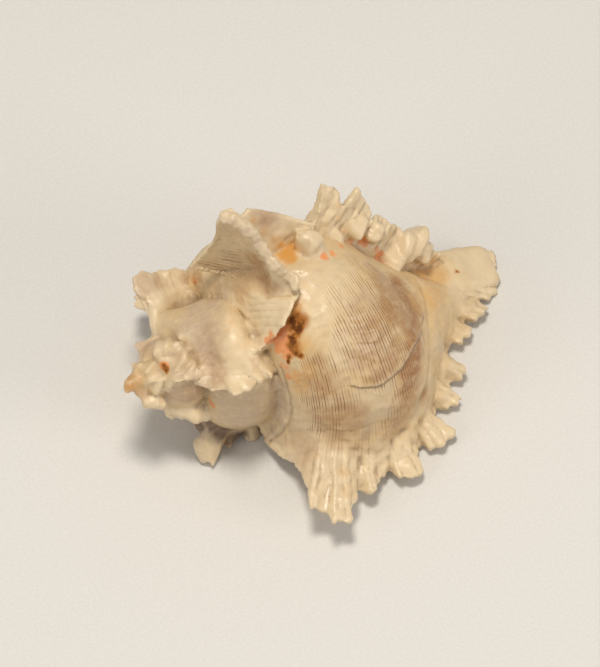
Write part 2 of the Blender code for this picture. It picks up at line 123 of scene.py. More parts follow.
# Rounded lumps in the folds of the top varix: x, y, view angle, radius in mm
LUMPS = (
    (311, 245, 123.5, 5.2), (305, 238, 126, 3.0), (331, 236, 131, 5.0), (352, 226, 132, 5.0),
    (372, 232, 131, 4.5), (392, 258, 126, 5.0), (403, 248, 130, 5.6), (416, 242, 132, 6.0),
    (421, 251, 128, 4.5), (194, 410, -8, 4.5), (185, 410, -8, 4.5), (204, 407, -8, 4.2), (131, 385, 0, 2.8),
    (142, 391, 0, 2.8), (150, 402, 0, 2.8), (154, 403, 0, 2.7), (159, 403, 0, 2.5), (203, 453, -30, 3.0),
    (200, 444, -30, 3.2),
)

# Wall of the tall frond, from its tip down: rim x, y, view angle, keel x, y, view angle, hollow in mm
FIN = (
    (222, 213, 131, 221, 216, 132, 0.0), (240, 226, 127, 217, 228, 134, 1.5),
    (255, 240, 124, 214, 240, 138, 4.0), (275, 266, 115, 205, 253, 143, 8.0),
    (297, 289, 105, 190, 268, 152, 11.0),
)

# Bead along the rim of the tall frond: x, y, view angle, radius in mm
RIM = (
    (226, 217, 131, 1.5), (232, 219, 129, 1.6), (241, 224, 127, 1.5), (250, 231, 125, 1.4),
    (258, 241, 123, 1.4), (267, 254, 119, 1.4), (276, 266, 114, 1.4), (286, 274, 111.5, 1.4),
    (294, 279, 108.5, 1.3), (296, 287, 105, 1.1),
)
RIM_BEADS = 130
RIM_RUFFLE = 4.2
RIM_SWING = 1.5
RIM_SWELL = 0.18
FIN_THICKNESS = 3.4
FIN_COLUMNS = 31
FIN_ROWS = 49

# Shape of a varix, in mm at the lip: swelling, and the fronds on its crest
SWELL_HEIGHT = 9.0
SWELL_REACH = 19.0
SWELL_POWER = 1.7
FROND_REACH = 3.0
FROND_BUTTRESS = 0.55
FROND_POWER = 1.6
CREST_THICKNESS = 1.9
CREST_DROP = 1.3
CREST_LEAN = 0.22
FROND_BEND = 0.22
FROND_CHANNEL = 3.2
NOTCH_WINDOW = 1.0
FROND_FADE = 1.5
LEAST_FROND = 0.5
LEAST_HEIGHT = 0.01
LEAST_RISE = 0.5
CHANNEL_LENGTH = 7.0
LEAST_ARM = 8.0
BEND_ROUNDS = 4
BEND_LAST = 13.8
BEND_FADE = 0.8
STEPS_AT_VARIX = tuple(np.round(np.concatenate([np.linspace(-34, -12, 12), np.linspace(-11, -4, 12),
                                                np.linspace(-3.6, 2.8, 20), (3.5, 5.0)]), 3))
STEP_GAP = 2.0
LEAD_LIMIT = 12.0
LEAD_HOLD = 10.0
LEAD_BACK = 40.0
LEAD_FRONT = 100.0

# Siphonal canal: distance from the apex, radius towards the lip, half width and half thickness
CANAL = (
    (92.0, 4.0, 13.0, 12.0), (115.0, 3.0, 12.0, 10.0), (128.0, 2.0, 11.0, 8.0), (140.0, 1.5, 10.0, 6.0),
    (150.0, 2.0, 8.8, 4.6), (155.5, 2.8, 8.0, 3.8), (158.0, 3.0, 6.5, 2.6),
)
CANAL_SIDES = 96
CANAL_GROWTH = 600.0
CANAL_SQUARENESS = 0.6
LUMP_SIDES = 32
LUMP_RINGS = 19
LUMP_SLOPE = math.radians(82)

# Aperture: centre and half sizes of the hollow at the lip, and how far back it goes
HOLLOW_CENTRE = (86.0, 29.5)
HOLLOW_HALF = (25.5, 15.5)
HOLLOW_START = 12.0
HOLLOW_END = -190.0
HOLLOW_NARROWEST = 0.25
HOLLOW_WIDENING = 90.0
HOLLOW_SIDES = 64
SLIT_FROM = (104.0, 15.0)
SLIT_TO = (166.0, 4.5)
SLIT_HALF_WIDTH = 1.5
SLIT_FLARE = 2.2
SLIT_FLOORS = (0.6, 3.4)
SLIT_TOP = 18.0

# Fine mesh and resting place, in mm
VOXEL = 0.62
SHELL_TRIANGLES = 186000
REST_DOWN = (0.259, 0.342, -0.903)
REST_SHIFT = (-76.71, 16.3, 45.07)

# Relief on the shell, in mm at the lip: cords, ribs on the fronds, growth folds and worn unevenness
CORDS_PER_PLACE = 2.0
CORD_HEIGHT = 0.04
RIBS_PER_PLACE = 2.9
RIB_HEIGHT = 0.85
RIB_FULL_RISE = 9.0
RIB_ROUNDNESS = 0.7
RIB_MIDDLE = 0.6
RIB_WANDER = 0.35
LEAST_RIB = 0.02
RIB_SHARES = ((-1900, 0.3), (-600, 0.35), (-575, 0.3), (-530, 0.3), (-500, 0.35), (-400, 0.35), (-350, 0.25),
              (-290, 0.25), (-250, 0.6), (-205, 0.7), (-160, 0.7), (-155, 0.15), (-105, 0.15), (-60, 1.0),
              (5, 1.0))
LIP_FROM = -60.0
TOP_RIB_PLACE = 6.6
TOP_RIB_ANGLE = -130.0
TOP_RIB_REACH = 25.0
TOP_RIB_SHARE = 0.8
PLAIN_LIP_PLACES = (2.6, 3.4)
PLAIN_LIP_SHARES = (0.2, 1.0)
FOLD_DEGREES = 7.0
FOLD_HEIGHT = 0.15
FOLD_WANDER = 1.5
FOLD_SWING = 0.6
FOLD_SWING_DEGREES = 11.0
FOLD_MIDDLE = 0.25
FOLD_VARIETY = 1.6
VARIX_LUMPS = 0.9
LUMPY_ELSEWHERE = 0.35
LUMPY_RISE = 2.5
WEAR_SIZES = ((14.0, 0.55), (5.0, 0.30), (2.2, 0.14))
CREST_RIPPLES = ((1.4, 3.4, 2.9, 13.8), (0.35, 2.4, 0.0, 15.0), (1.5, 1.3, 0.0, 15.0), (0.6, 2.6, 0.0, 15.0))
COPY_RIPPLE = (0.5, 2.9, 0.0, 15.0)
RIPPLE_FADE = 0.6
RIPPLE_WANDER = 0.8
RIPPLE_WANDER_RATE = 2.3
RIPPLE_ROUNDNESS = 0.6
RIPPLE_MIDDLE = 0.6
BUTTRESS_PLACES = (4.2, 6.0)
TOP_FROND_POWER = 3.2

# Noise that drives the relief: size in mm and seed
RIB_NOISE = (9.0, 3.1)
FOLD_NOISE = (16.0, 7.7)
FOLD_HEIGHT_NOISE = (12.0, 2.2)
VARIX_LUMP_NOISE = (3.4, 4.4)

# Traits of the skins beside the whorls, so that their lines and ribs differ
WHORL_PLACES = 16.0
CANAL_TRAIT = 20.0
CANAL_RISE = 1.2
CANAL_ROWS = 40
FIN_TRAIT = 30.0
FIN_RISE = 3.0
FIN_RUFFLE = 1.2
FIN_RUFFLE_ROWS = 2.3
FIN_RUFFLE_START = 6.0
FIN_PLACES = 3.5
FIN_GROWN = 0.1
LEAST_WIDTH = 1.0
LUMP_TRAIT = 40.0
LUMP_RISE = 8.0
LUMP_UNEVEN = 0.5
LUMP_FRONT = 0.72
LUMP_BACK = 1.35
LUMP_UNEVEN_SIZE = 0.9
LUMP_SEED = 1.7
LUMP_BLEND_ROUNDS = 8
LUMP_BLEND_REACH = 1.6

# Worn smooth: the spire up to a distance from the apex in mm, and spots as x, y and radius in mm
WORN_DISTANCE = 30.0
WORN_FADE = 10.0
WORN_SPOTS = (
    (256, 344, 7), (262, 350, 6), (250, 335, 6), (258, 338, 6), (277, 385, 5), (279, 397, 5.5),
    (278, 409, 5.5), (273, 419, 5.5), (265, 428, 5), (203, 449, 7), (201, 440, 5), (206, 455, 5),
)
WORN_ROUNDS = 70
SPOT_SHARPNESS = 2.0
SMOOTHING = 0.5
RAY_START = 400.0

# Hollows found on the shell, which set where shade is painted: rounds of smoothing and depth in mm, close up
# and broadly
CLOSE_CAVITY = (6, 0.35)
BROAD_CAVITY = (40, 1.6)

# Camera, in mm
PICTURE_SIZE = (600, 667)
CAMERA_DISTANCE = 3000.0
SENSOR = 36.0
CLIP_M = (0.1, 20.0)

# Marks read in the photograph, by kind: x, y, radius in mm, strength
MARKS = {
    "stain": (
        (165, 366, 1.2, 0.7), (167, 370, 1.7, 0.8), (195, 283, 0.9, 0.6), (289, 356, 1.3, 0.9),
        (289, 361, 1.1, 0.85), (292, 337, 2, 1.05), (293, 342, 1.9, 1), (294, 321, 2.6, 1.05),
        (294, 332, 2.8, 0.75), (294, 346, 3.2, 0.68), (296, 350, 3, 0.55), (297, 321, 4, 0.72),
        (297, 326, 2.8, 1.1), (297, 353, 1.5, 0.95), (301, 355, 1.4, 0.9), (459, 271, 1.1, 0.7),
    ),
    "orange": (
        (131, 386, 1.8, 0.45), (165, 367, 2.2, 1), (192, 279, 2.4, 0.5), (195, 283, 1.5, 0.9),
        (212, 404, 1.9, 1.5), (281, 340, 4.6, 1.6), (284, 350, 4, 1.6), (285, 366, 3, 0.8),
        (286, 332, 3, 1.4), (288, 376, 2, 0.7), (324, 257, 2, 1), (333, 254, 1.8, 1), (341, 247, 2, 0.9),
        (350, 240, 2.6, 0.8), (363, 239, 2.4, 1.5), (365, 243, 1.6, 1), (376, 249, 2, 0.8),
        (378, 254, 2.4, 1.1), (381, 261, 1.8, 0.9),
    ),
    "amber": (
        (280, 247, 2.4, 0.8), (286, 254, 3.2, 1), (290, 250, 2.5, 0.8), (292, 260, 3, 1),
        (295, 309, 2.6, 0.6), (295, 388, 1.8, 0.4), (296, 379, 2.4, 0.5), (297, 374, 2.6, 0.45),
        (301, 347, 3, 0.35), (303, 385, 2.2, 0.35),
    ),
    "tan": (
        (131, 388, 4, 0.7), (137, 380, 4, 0.5), (233, 325, 2.4, 0.6), (254, 222, 2.2, 0.6),
        (265, 232, 2.2, 0.7), (276, 240, 2.2, 0.8), (287, 251, 4.5, 1), (295, 376, 3.5, 0.7),
        (297, 304, 3, 0.7), (300, 385, 4.5, 0.5), (302, 346, 4.5, 0.8), (308, 372, 3.5, 0.5),
        (339, 205, 1.6, 0.5), (340, 218, 1.6, 0.6), (342, 230, 1.8, 0.6), (345, 470, 3.4, 0.3),
        (350, 490, 3.4, 0.3), (355, 430, 3.5, 0.2), (412, 300, 5, 0.6), (415, 400, 6, 0.25),
        (420, 288, 5, 0.6), (420, 300, 4.5, 0.5), (424, 275, 5, 0.7), (425, 305, 5, 0.6),
        (425, 330, 4, 0.2), (428, 350, 4, 0.35), (430, 270, 7, 0.8), (432, 300, 6, 0.7), (436, 290, 6, 0.7),
        (436, 365, 5, 0.25), (440, 300, 5, 0.5), (448, 318, 5, 0.15),
    ),
    # Brown wash; the spots under the tall frond's rim and the one by the lower left spine are painted shade
    "wash_and_shade": (
        (130, 383, 5, 0.8), (141, 390, 4, 0.6), (142, 284, 6, 0.15), (148, 348, 5, 0.25),
        (165, 283, 5, 0.25), (186, 279, 3, 0.5), (192, 393, 6, 0.4), (196, 277, 4, 0.7),
        (204, 362, 8, 0.25), (205, 340, 6, 0.3), (212, 360, 6, 0.35), (216, 272, 7, 0.2),
        (218, 376, 5, 0.4), (226, 443, 5, 0.7), (235, 262, 8, 0.15), (240, 290, 5, 0.4),
        (245, 270, 7, 0.35), (250, 276, 5, 0.5), (256, 262, 5, 0.7), (262, 275, 6, 0.8), (268, 216, 6, 0.4),
        (270, 287, 5, 0.7), (300, 445, 8, 0.25), (312, 380, 4.5, 0.6), (318, 365, 5, 0.5),
        (320, 415, 5, 0.45), (322, 392, 5, 0.6), (325, 385, 8, 0.6), (340, 415, 8, 0.65),
        (342, 415, 9, 0.6), (350, 330, 6, 0.25), (350, 432, 8, 0.4), (363, 320, 9, 0.25),
        (365, 378, 4, 0.4), (372, 345, 12, 0.5), (375, 275, 6, 0.5), (375, 340, 11, 0.4),
        (375, 372, 5, 0.6), (385, 285, 7, 0.45), (385, 365, 9, 0.5), (388, 290, 7, 0.6), (390, 360, 6, 0.6),
        (392, 312, 7, 0.8), (395, 300, 9, 0.6), (395, 345, 6, 0.6), (395, 424, 7, 0.5), (400, 283, 6, 0.8),
        (402, 420, 6, 0.4), (404, 406, 7, 0.7), (405, 320, 8, 0.75), (408, 300, 10, 1.1),
        (408, 388, 7, 0.9), (410, 405, 6, 0.5), (411, 368, 8, 1), (412, 385, 6, 0.6), (414, 345, 8, 1),
        (415, 322, 7, 1), (415, 365, 7, 0.6), (418, 270, 3, 0.4), (425, 396, 4, 0.8),
    ),
    "lines": (
        (205, 268, 6, 0.5), (228, 266, 9, 0.6), (300, 350, 4, 0.5), (320, 370, 8, 1), (322, 400, 9, 1),
        (325, 425, 7, 0.8), (330, 440, 8, 0.4), (345, 300, 9, 0.5), (345, 355, 9, 0.6), (345, 400, 9, 0.55),
        (355, 262, 6, 0.6), (365, 440, 10, 0.35), (366, 285, 9, 0.7), (372, 272, 7, 1), (372, 340, 17, 1),
        (385, 285, 8, 1), (385, 375, 8, 1), (390, 310, 12, 1), (392, 300, 8, 1), (395, 415, 8, 0.6),
        (398, 290, 8, 0.9), (404, 385, 8, 0.8), (405, 312, 10, 1), (405, 390, 9, 0.7), (408, 360, 8, 0.9),
        (410, 336, 9, 1),
    ),
    "pale": (
        (155, 305, 4, 0.6), (158, 320, 4, 0.6), (160, 385, 4, 0.9), (165, 350, 3.5, 0.7), (180, 345, 4, 1),
        (185, 341, 4, 0.9), (190, 352, 4, 0.9), (192, 414, 5, 0.8), (195, 361, 4, 0.9), (200, 372, 4, 0.9),
        (205, 412, 4, 0.6), (222, 246, 8, 0.5), (236, 325, 4.5, 1), (237, 308, 3.5, 1), (240, 341, 6, 1),
        (240, 374, 7, 1), (246, 356, 7, 1), (262, 372, 6, 0.9), (268, 437, 3, 0.6), (270, 310, 9, 0.7),
        (305, 235, 8, 0.8), (312, 300, 7, 0.7), (315, 320, 8, 0.5), (320, 265, 7, 0.6), (322, 315, 7, 0.7),
        (325, 290, 12, 0.7), (335, 375, 6, 0.5), (336, 382, 5, 0.7), (337, 360, 6, 0.8), (337, 402, 5, 0.6),
        (340, 340, 7, 0.8), (345, 275, 7, 0.6), (358, 396, 4, 0.7), (368, 246, 4, 0.6), (372, 395, 4, 0.7),
        (387, 388, 3.5, 0.6), (390, 400, 7, 0.4), (460, 290, 6, 0.8), (470, 262, 9, 1), (475, 270, 10, 0.8),
        (485, 280, 8, 1), (490, 255, 7, 0.7), (492, 262, 7, 1),
    ),
    "grey": (
        (142, 284, 7, 0.8), (145, 345, 6, 0.8), (152, 300, 5, 0.5), (160, 345, 5, 0.6), (177, 395, 5, 0.7),
        (180, 370, 5, 0.6), (190, 350, 9, 0.8), (190, 392, 6, 0.8), (195, 330, 10, 1), (203, 352, 8, 1),
        (205, 305, 9, 0.8), (205, 370, 9, 0.7), (205, 385, 8, 0.6), (215, 330, 5, 0.8), (225, 395, 9, 0.8),
        (235, 222, 3.2, 0.7), (240, 240, 9, 0.1), (248, 231, 3.2, 0.7), (250, 410, 14, 0.8),
        (258, 243, 3.2, 0.7), (268, 257, 3.2, 0.7), (270, 214, 8, 0.9), (270, 225, 8, 0.4),
        (270, 395, 9, 0.7), (273, 432, 3.6, 0.9), (278, 268, 3.2, 0.6), (279, 384, 3, 0.9),
        (280, 420, 4, 0.9), (281, 396, 3.6, 0.9), (283, 408, 4, 0.9), (290, 277, 3, 0.4),
        (310, 430, 12, 0.35), (315, 245, 6, 0.35), (320, 460, 12, 0.3), (360, 420, 8, 0.5),
        (366, 300, 7, 0.5), (385, 408, 6, 0.5),
    ),
    # Painted shadow: dark brown in the hollow by the lower left spine, where shade falls
    "painted_shadow": (
        (200, 426, 4, 1.3), (211, 426, 4.5, 1.4), (222, 432, 5, 1.4), (235, 439, 5, 1.4),
    ),
}
MARK_RAGS = ((0.30, 3.0, 5.0), (0.35, 8.0, 9.0))
MARK_FULL = 1.6
MARK_FALL = 1.25

# Washes and lines on the far side: where they lie, and patches as middle, contrast, size in mm and seed
FAR_SIDE_PLACES = (0.5, 2.0, 12.0, 13.5)
FAR_SIDE_SHARES = (0.3, 1.0, 1.0, 0.0)
FAR_SIDE_ANGLES = (-700, -330)
FAR_SIDE_STRENGTHS = (0.35, 1.0)
FAR_SIDE_FACING = 2.5
FAR_SIDE_RISE = 3.0
FAR_LINES = (0.55, 1.8, 17.0, 6.3)
FAR_WASHES = (0.35, 1.8, 22.0, 1.4)
FAR_WASH_STRENGTH = 0.75

# Growth edge left on the last whorl where the older layer ends, as points in the photograph
OLD_EDGE_PX = ((349, 384), (361, 386), (378, 385), (385, 380), (400, 368), (412, 345), (420, 330), (424, 312))
OLD_EDGE_STEP = 0.75
OLD_EDGE_FADE = 7.0
OLD_EDGE_END = 0.3
OLD_EDGE_REACH = 40.0
NOT_OLDER = -9.0

# Ridges (+) and grooves (-) seen in the photograph: height and half width in mm, then points
LINES_OF_RELIEF = (
    (-1.2, 2.0, ((424, 287), (430, 305), (432, 330), (431, 355), (428, 378), (421, 402), (408, 428),
                 (392, 440))),
    (-0.35, 0.9, ((288, 431), (310, 431), (330, 430), (350, 431))),
    (-0.9, 0.9, ((281, 368), (285, 382), (288, 396), (290, 409), (287, 424), (278, 435), (268, 441))),
    (-0.30, 0.9, ((350, 431), (372, 424), (395, 420), (410, 414))),
    (-0.30, 0.8, ((340, 196), (341, 212), (342, 228), (344, 240))),
    (-0.50, 1.0, ((285, 241), (291, 237), (297, 236))), (0.35, 1.4, ((372, 408), (392, 404), (412, 401))),
    (-2.0, 2.6, ((254, 336), (257, 346))),
    (2.2, 5.0, ((230, 306), (234, 322), (238, 340), (242, 358), (250, 374))),
    (-2.2, 5.5, ((184, 300), (197, 318), (206, 345), (212, 372))),
    (1.6, 3.0, ((162, 352), (176, 347), (190, 362), (204, 376))),
    (-0.8, 2.6, ((172, 335), (184, 345), (196, 360))),
    (1.3, 3.0, ((157, 330), (156, 312), (165, 298), (182, 289))), (1.3, 1.4, ((158, 354), (161, 344))),
    (1.5, 1.4, ((168, 351), (170, 340))), (1.4, 1.4, ((178, 347), (181, 338))),
    (1.2, 1.3, ((184, 355), (188, 349))), (1.4, 1.5, ((178, 370), (184, 361))),
    (1.4, 1.5, ((190, 374), (194, 364))), (1.4, 1.5, ((199, 378), (203, 368))),
    (1.2, 1.3, ((157, 392), (161, 382))), (1.0, 1.1, ((148, 372), (154, 364))),
    (0.8, 1.0, ((137, 372), (141, 364))), (0.8, 1.0, ((134, 394), (140, 386))),
    (-0.9, 1.2, ((165, 356), (178, 355))), (-0.35, 0.5, ((250, 300), (268, 298), (290, 296))),
    (-0.35, 0.5, ((250, 306), (268, 304), (288, 303))), (-0.35, 0.5, ((250, 312), (268, 311), (286, 310))),
    (-0.35, 0.5, ((250, 319), (266, 318), (282, 318))), (-0.30, 0.5, ((250, 327), (264, 326), (277, 326))),
    (-0.30, 0.5, ((252, 335), (270, 334))),
)


def to_share(value):
    return np.clip(value, 0, 1)


# Angles evenly round a ring
def turns_round(count):
    return np.linspace(0, 2 * math.pi, count, endpoint=False)


def growth_steps():
    angles = set(np.arange(FIRST_ANGLE, LAST_ANGLE, ANGLE_STEP))
    centres = [row[0] for row in READ_VARICES + COPIED_VARICES]
    for centre in centres:
        first = centre + STEPS_AT_VARIX[0] - STEP_GAP
        last = centre + STEPS_AT_VARIX[-1] + STEP_GAP
        angles = {a for a in angles if not first < a < last}
    for centre in centres:
        angles |= {centre + step for step in STEPS_AT_VARIX if centre + step <= LAST_ANGLE}
    return sorted(angles)


def growth(angle):
    return WHORL_GROWTH ** (np.asarray(angle, float) / FULL_TURN)


# Smooth curve through control points, at fractional indices
def smooth_curve(points, places):
    points = np.asarray(points, float)
    padded = np.vstack([2 * points[0] - points[1], points, 2 * points[-1] - points[-2]])
    first = np.clip(np.floor(places).astype(int), 0, len(points) - 2)
    part = (places - first)[:, None]
    a, b, c, d = (padded[first + k] for k in range(4))
    return b + 0.5 * part * (c - a + part * (2 * a - 5 * b + 4 * c - d + part * (3 * (b - c) + d - a)))


# Distance along the axis and radius of a picture point that lies at one angle round the axis
def picture_to_half_plane(x, y, view_angle):
    across = x - APEX_PX[0]
    down = y - APEX_PX[1]
    along = (across * math.cos(AXIS_RISE) - down * math.sin(AXIS_RISE)) / PX_PER_MM
    aside = (across * math.sin(AXIS_RISE) + down * math.cos(AXIS_RISE)) / PX_PER_MM
    turn = np.radians(view_angle)
    radius = aside / np.cos(turn)
    return (along - radius * math.sin(AXIS_TILT) * np.sin(turn)) / math.cos(AXIS_TILT), radius


# Points of the shell from axial distance, radius and growth angle: the apex is at -X, the camera at -Y
def to_space(distance, radius, angle):
    bearing = np.radians(LIP_BEARING - angle)
    return np.stack([distance + 0 * bearing, -radius * np.cos(bearing), radius * np.sin(bearing)], axis=-1)


# Point in space of a picture point that lies at one angle round the axis
def picture_to_space(x, y, view_angle):
    return to_space(*picture_to_half_plane(x, y, view_angle), LIP_VIEW - view_angle)


# Edge of a varix read in the picture, whose fronds are bent back by an angle at each place
def edge_curve(edge, view_angle, feet, bend):
    rows = np.array(edge, float)
    lead = rows[:, 3]
    turn = view_angle - lead + np.interp(rows[:, 0], feet, bend)
    distance, radius = picture_to_half_plane(rows[:, 1], rows[:, 2], turn)
    return rows[:, 0], distance, radius, lead


# Crest of one varix over all places of the profile: crest points, notch level, lead and channel
def make_crest(angle, feet, base, curve, bending, buttress, frond_size, last_frond):
    places, distance, radius, lead = curve
    size = growth(angle)
    crest = np.stack([np.interp(feet, places, distance), np.interp(feet, places, radius)], axis=-1)
    foot_points = base * growth(angle + np.interp(feet, places, lead))[:, None]
    rise = crest - foot_points
    height = np.hypot(rise[:, 0], rise[:, 1])
    level = np.array([height[np.abs(feet - place) <= NOTCH_WINDOW].min() for place in feet])
    level = np.minimum(level, SWELL_HEIGHT * size)
    level = np.array([level[np.abs(feet - place) <= NOTCH_WINDOW / 2].mean() for place in feet])
    share = to_share(level / np.maximum(height, LEAST_HEIGHT))
    fade = to_share((last_frond - feet) / FROND_FADE)
    notch = foot_points + rise * (share * fade)[:, None]
    tips = notch + (crest - notch) * (frond_size * fade)[:, None]
    length = np.hypot(*(tips - notch).T)
    lows = [feet[0]]
    for k in range(1, len(feet) - 1):
        if length[k] <= length[k - 1] and length[k] < length[k + 1] and feet[k] - lows[-1] > LEAST_FROND:
            lows.append(feet[k])
    lows.append(feet[-1])
    after = np.clip(np.searchsorted(lows, feet, side="right"), 1, len(lows) - 1)
    lows = np.array(lows)
    middle = 0.5 * (lows[after] + lows[after - 1])
    half = 0.5 * (lows[after] - lows[after - 1])
    hollow = to_share(1 - ((feet - middle) / half) ** 2)
    hollow = hollow * to_share(length / (CHANNEL_LENGTH * size))
    rim = np.hypot(*(notch - foot_points).T)
    leading = np.interp(feet, places, lead)
    upright = to_share(1 - leading / LEAD_LIMIT) * to_share((BEND_LAST - feet) / BEND_FADE)
    back = bending * upright * (FROND_BEND * length + FROND_CHANNEL * size * hollow)
    return {"angle": angle, "size": size, "notch": notch, "tips": tips, "rim": rim, "back": back,
            "reach": (FROND_REACH * size + buttress * length) / math.sqrt(size),
            "arm": np.maximum(np.abs(tips[:, 1]), LEAST_ARM * size),
            "lead": leading, "foot_points": foot_points, "power": FROND_POWER}


# Small teeth along the edge of a varix: height in mm, teeth per place, first and last place
def ripple_crest(crest, feet, ripple):
    height, per_place, first, last = ripple
    height = height * to_share((feet - first) / RIPPLE_FADE) * to_share((last - feet) / RIPPLE_FADE)
    wander = RIPPLE_WANDER * np.sin(RIPPLE_WANDER_RATE * feet)
    wave = np.abs(np.sin(math.pi * per_place * feet + wander)) ** RIPPLE_ROUNDNESS - RIPPLE_MIDDLE
    rise = crest["tips"] - crest["foot_points"]
    rise = rise / np.maximum(np.hypot(*rise.T), LEAST_RISE)[:, None]
    crest["tips"] = crest["tips"] + rise * (height * wave)[:, None]
    return crest


def all_crests(feet, base):
    crests = []
    curves = []
    for (angle, view_angle, bending, buttress, last_place, edge), ripple in zip(READ_VARICES, CREST_RIPPLES):
        bend = np.zeros(len(feet))
        for _ in range(BEND_ROUNDS):
            curve = edge_curve(edge, view_angle, feet, bend)
            along = np.interp(feet, BUTTRESS_PLACES, (buttress, min(buttress, FROND_BUTTRESS)))
            crest = make_crest(angle, feet, base, curve, bending, along, 1.0, last_place)
            bend = np.degrees(crest["back"] / crest["arm"])
        if edge is TOP_EDGE:
            crest["power"] = np.interp(feet, BUTTRESS_PLACES, (FROND_POWER, TOP_FROND_POWER))
        crests.append(ripple_crest(crest, feet, ripple))
        curves.append(curve)
    lip = curves[0]
    for angle, frond_size, last_frond in COPIED_VARICES:
        size = growth(angle)
        copy = (lip[0], lip[1] * size, lip[2] * size, lip[3])
        crest = make_crest(angle, feet, base, copy, 1.0, FROND_BUTTRESS, frond_size, last_frond)
        crests.append(ripple_crest(crest, feet, (COPY_RIPPLE[0] * size,) + COPY_RIPPLE[1:]))
    return crests


# Share of the full height at a distance in mm behind (-) or in front of (+) the crest
def rise_share(offset, reach, power):
    behind = to_share(1 + (offset + CREST_THICKNESS) / reach) ** power
    ahead = to_share(1 - offset / CREST_DROP)
    return np.minimum(behind, 1) * ahead


# One ring of the sweep with its rise over the plain whorl, in mm at the lip
def ring(angle, base, crests):
    lead = np.zeros(len(base))
    for crest in crests:
        delta = angle - crest["angle"]
        if delta <= 0:
            weight = to_share(1 + (delta + LEAD_HOLD) / LEAD_BACK)
        else:
            weight = to_share(1 - delta / LEAD_FRONT)
        lead = np.maximum(lead, crest["lead"] * weight)
    turned = angle + lead
    plain = base * growth(turned)[:, None]
    shape = plain
    shift = np.zeros(len(base))
    for crest in crests:
        delta = angle - crest["angle"]
        if not STEPS_AT_VARIX[0] <= delta <= STEPS_AT_VARIX[-1]:
            continue
        size = crest["size"]
        arm = crest["arm"]
        thick = math.sqrt(size)
        offset = np.radians(delta) * arm / thick
        swell = rise_share(offset, SWELL_REACH * thick, SWELL_POWER)
        frond = rise_share(offset, crest["reach"], crest["power"])
        shape = shape + swell[:, None] * (crest["notch"] - crest["foot_points"])
        shape = shape + frond[:, None] * (crest["tips"] - crest["notch"])
        shift = shift + (CREST_LEAN * crest["rim"] * swell - crest["back"] * frond) / arm
    rise = np.hypot(*(shape - plain).T) / growth(angle)
    return to_space(shape[:, 0], shape[:, 1], turned + np.degrees(shift)), rise


# Skin over a stack of rings, each point with its growth in whorls, its place and its rise
def skin(rings, grown, place, rise):
    rings = np.asarray(rings)
    rows, count = rings.shape[:2]
    points = np.vstack([rings.reshape(-1, 3), rings[0].mean(axis=0)[None], rings[-1].mean(axis=0)[None]])
    traits = np.stack([np.broadcast_to(a, (rows, count)) for a in (grown, place, rise)], axis=-1)
    traits = traits.reshape(-1, 3)
    traits = np.vstack([traits, traits[:count].mean(axis=0)[None], traits[-count:].mean(axis=0)[None]])
    row, k = np.meshgrid(np.arange(rows - 1) * count, np.arange(count), indexing="ij")
    n = (k + 1) % count
    a, b, c, d = (m.ravel() for m in (row + k, row + n, row + count + n, row + count + k))
    k = np.arange(count)
    n = (k + 1) % count
    hub = rows * count + 0 * k
    last = (rows - 1) * count
    faces = [np.stack([a, b, c], 1), np.stack([a, c, d], 1)]
    faces += [np.stack([hub, n, k], 1), np.stack([hub + 1, last + k, last + n], 1)]
    return points, np.vstack(faces), traits


def make_whorls():
    places = set(np.arange(0, len(PROFILE) - 1 + FOOT_STEP / 2, FOOT_STEP).round(4))
    places |= {row[0] for row in LIP_EDGE + TOP_EDGE + NEAR_EDGE + FAR_EDGE}
    feet = np.array(sorted(places))
    base = smooth_curve(PROFILE, feet)
    crests = all_crests(feet, base)
    rings = []
    rises = []
    steps = growth_steps()
    for angle in steps:
        core = np.array(CORE) * growth(angle)
        points, rise = ring(angle, base, crests)
        rings.append(np.vstack([points, to_space(core[:, 0], core[:, 1], angle)]))
        rises.append(np.append(rise, (0.0, 0.0)))
    place = np.append(feet, (feet[-1], feet[0]))
    return skin(rings, np.array(steps)[:, None] / FULL_TURN, place, rises)


# Directions in the plane of the lip: towards the lip, and the way that the shell grows
def lip_directions():
    bearing = math.radians(LIP_BEARING)
    outward = np.array([0.0, -math.cos(bearing), math.sin(bearing)])
    onward = np.array([0.0, -math.sin(bearing), -math.cos(bearing)])
    return outward, onward


def make_canal():
    outward, onward = lip_directions()
    turns = turns_round(CANAL_SIDES)
    rows = smooth_curve(CANAL, np.linspace(0, len(CANAL) - 1, CANAL_ROWS))
    rings = []
    for distance, radius, half_width, half_thickness in rows:
        centre = np.array([distance, 0.0, 0.0]) + radius * outward
        cosine, sine = np.cos(turns), np.sin(turns)
        wide = np.sign(cosine) * np.abs(cosine) ** CANAL_SQUARENESS * half_width
        deep = np.sign(sine) * np.abs(sine) ** CANAL_SQUARENESS * half_thickness
        rings.append(centre + wide[:, None] * outward + deep[:, None] * onward)
    grown = CANAL_TRAIT + rows[:, 0][:, None] / CANAL_GROWTH
    return skin(rings, grown, CANAL_TRAIT + turns, CANAL_RISE)


# Uneven ball
def make_ball(centre, radius):
    turns = turns_round(LUMP_SIDES)
    rings = []
    for slope in np.linspace(-LUMP_SLOPE, LUMP_SLOPE, LUMP_RINGS):
        belt = np.cos(slope) * np.stack([0 * turns, np.cos(turns), np.sin(turns)], axis=1)
        outward = belt + (np.sin(slope), 0, 0)
        uneven = sample_noise(centre + radius * outward, LUMP_UNEVEN_SIZE * radius, LUMP_SEED)
        rings.append(centre + radius * outward * (1 + LUMP_UNEVEN * uneven)[:, None])
    return skin(rings, LUMP_TRAIT, LUMP_TRAIT, LUMP_RISE)


def make_lumps():
    toward = picture_axes()[2]
    made = []
    for x, y, view_angle, radius in LUMPS:
        centre = picture_to_space(x, y, view_angle)
        points, faces, traits = make_ball(centre, radius)
        depth = (points - centre) @ toward
        depth = np.where(depth > 0, LUMP_FRONT * depth, LUMP_BACK * depth) - depth
        made.append((points + depth[:, None] * toward, faces, traits))
    return made


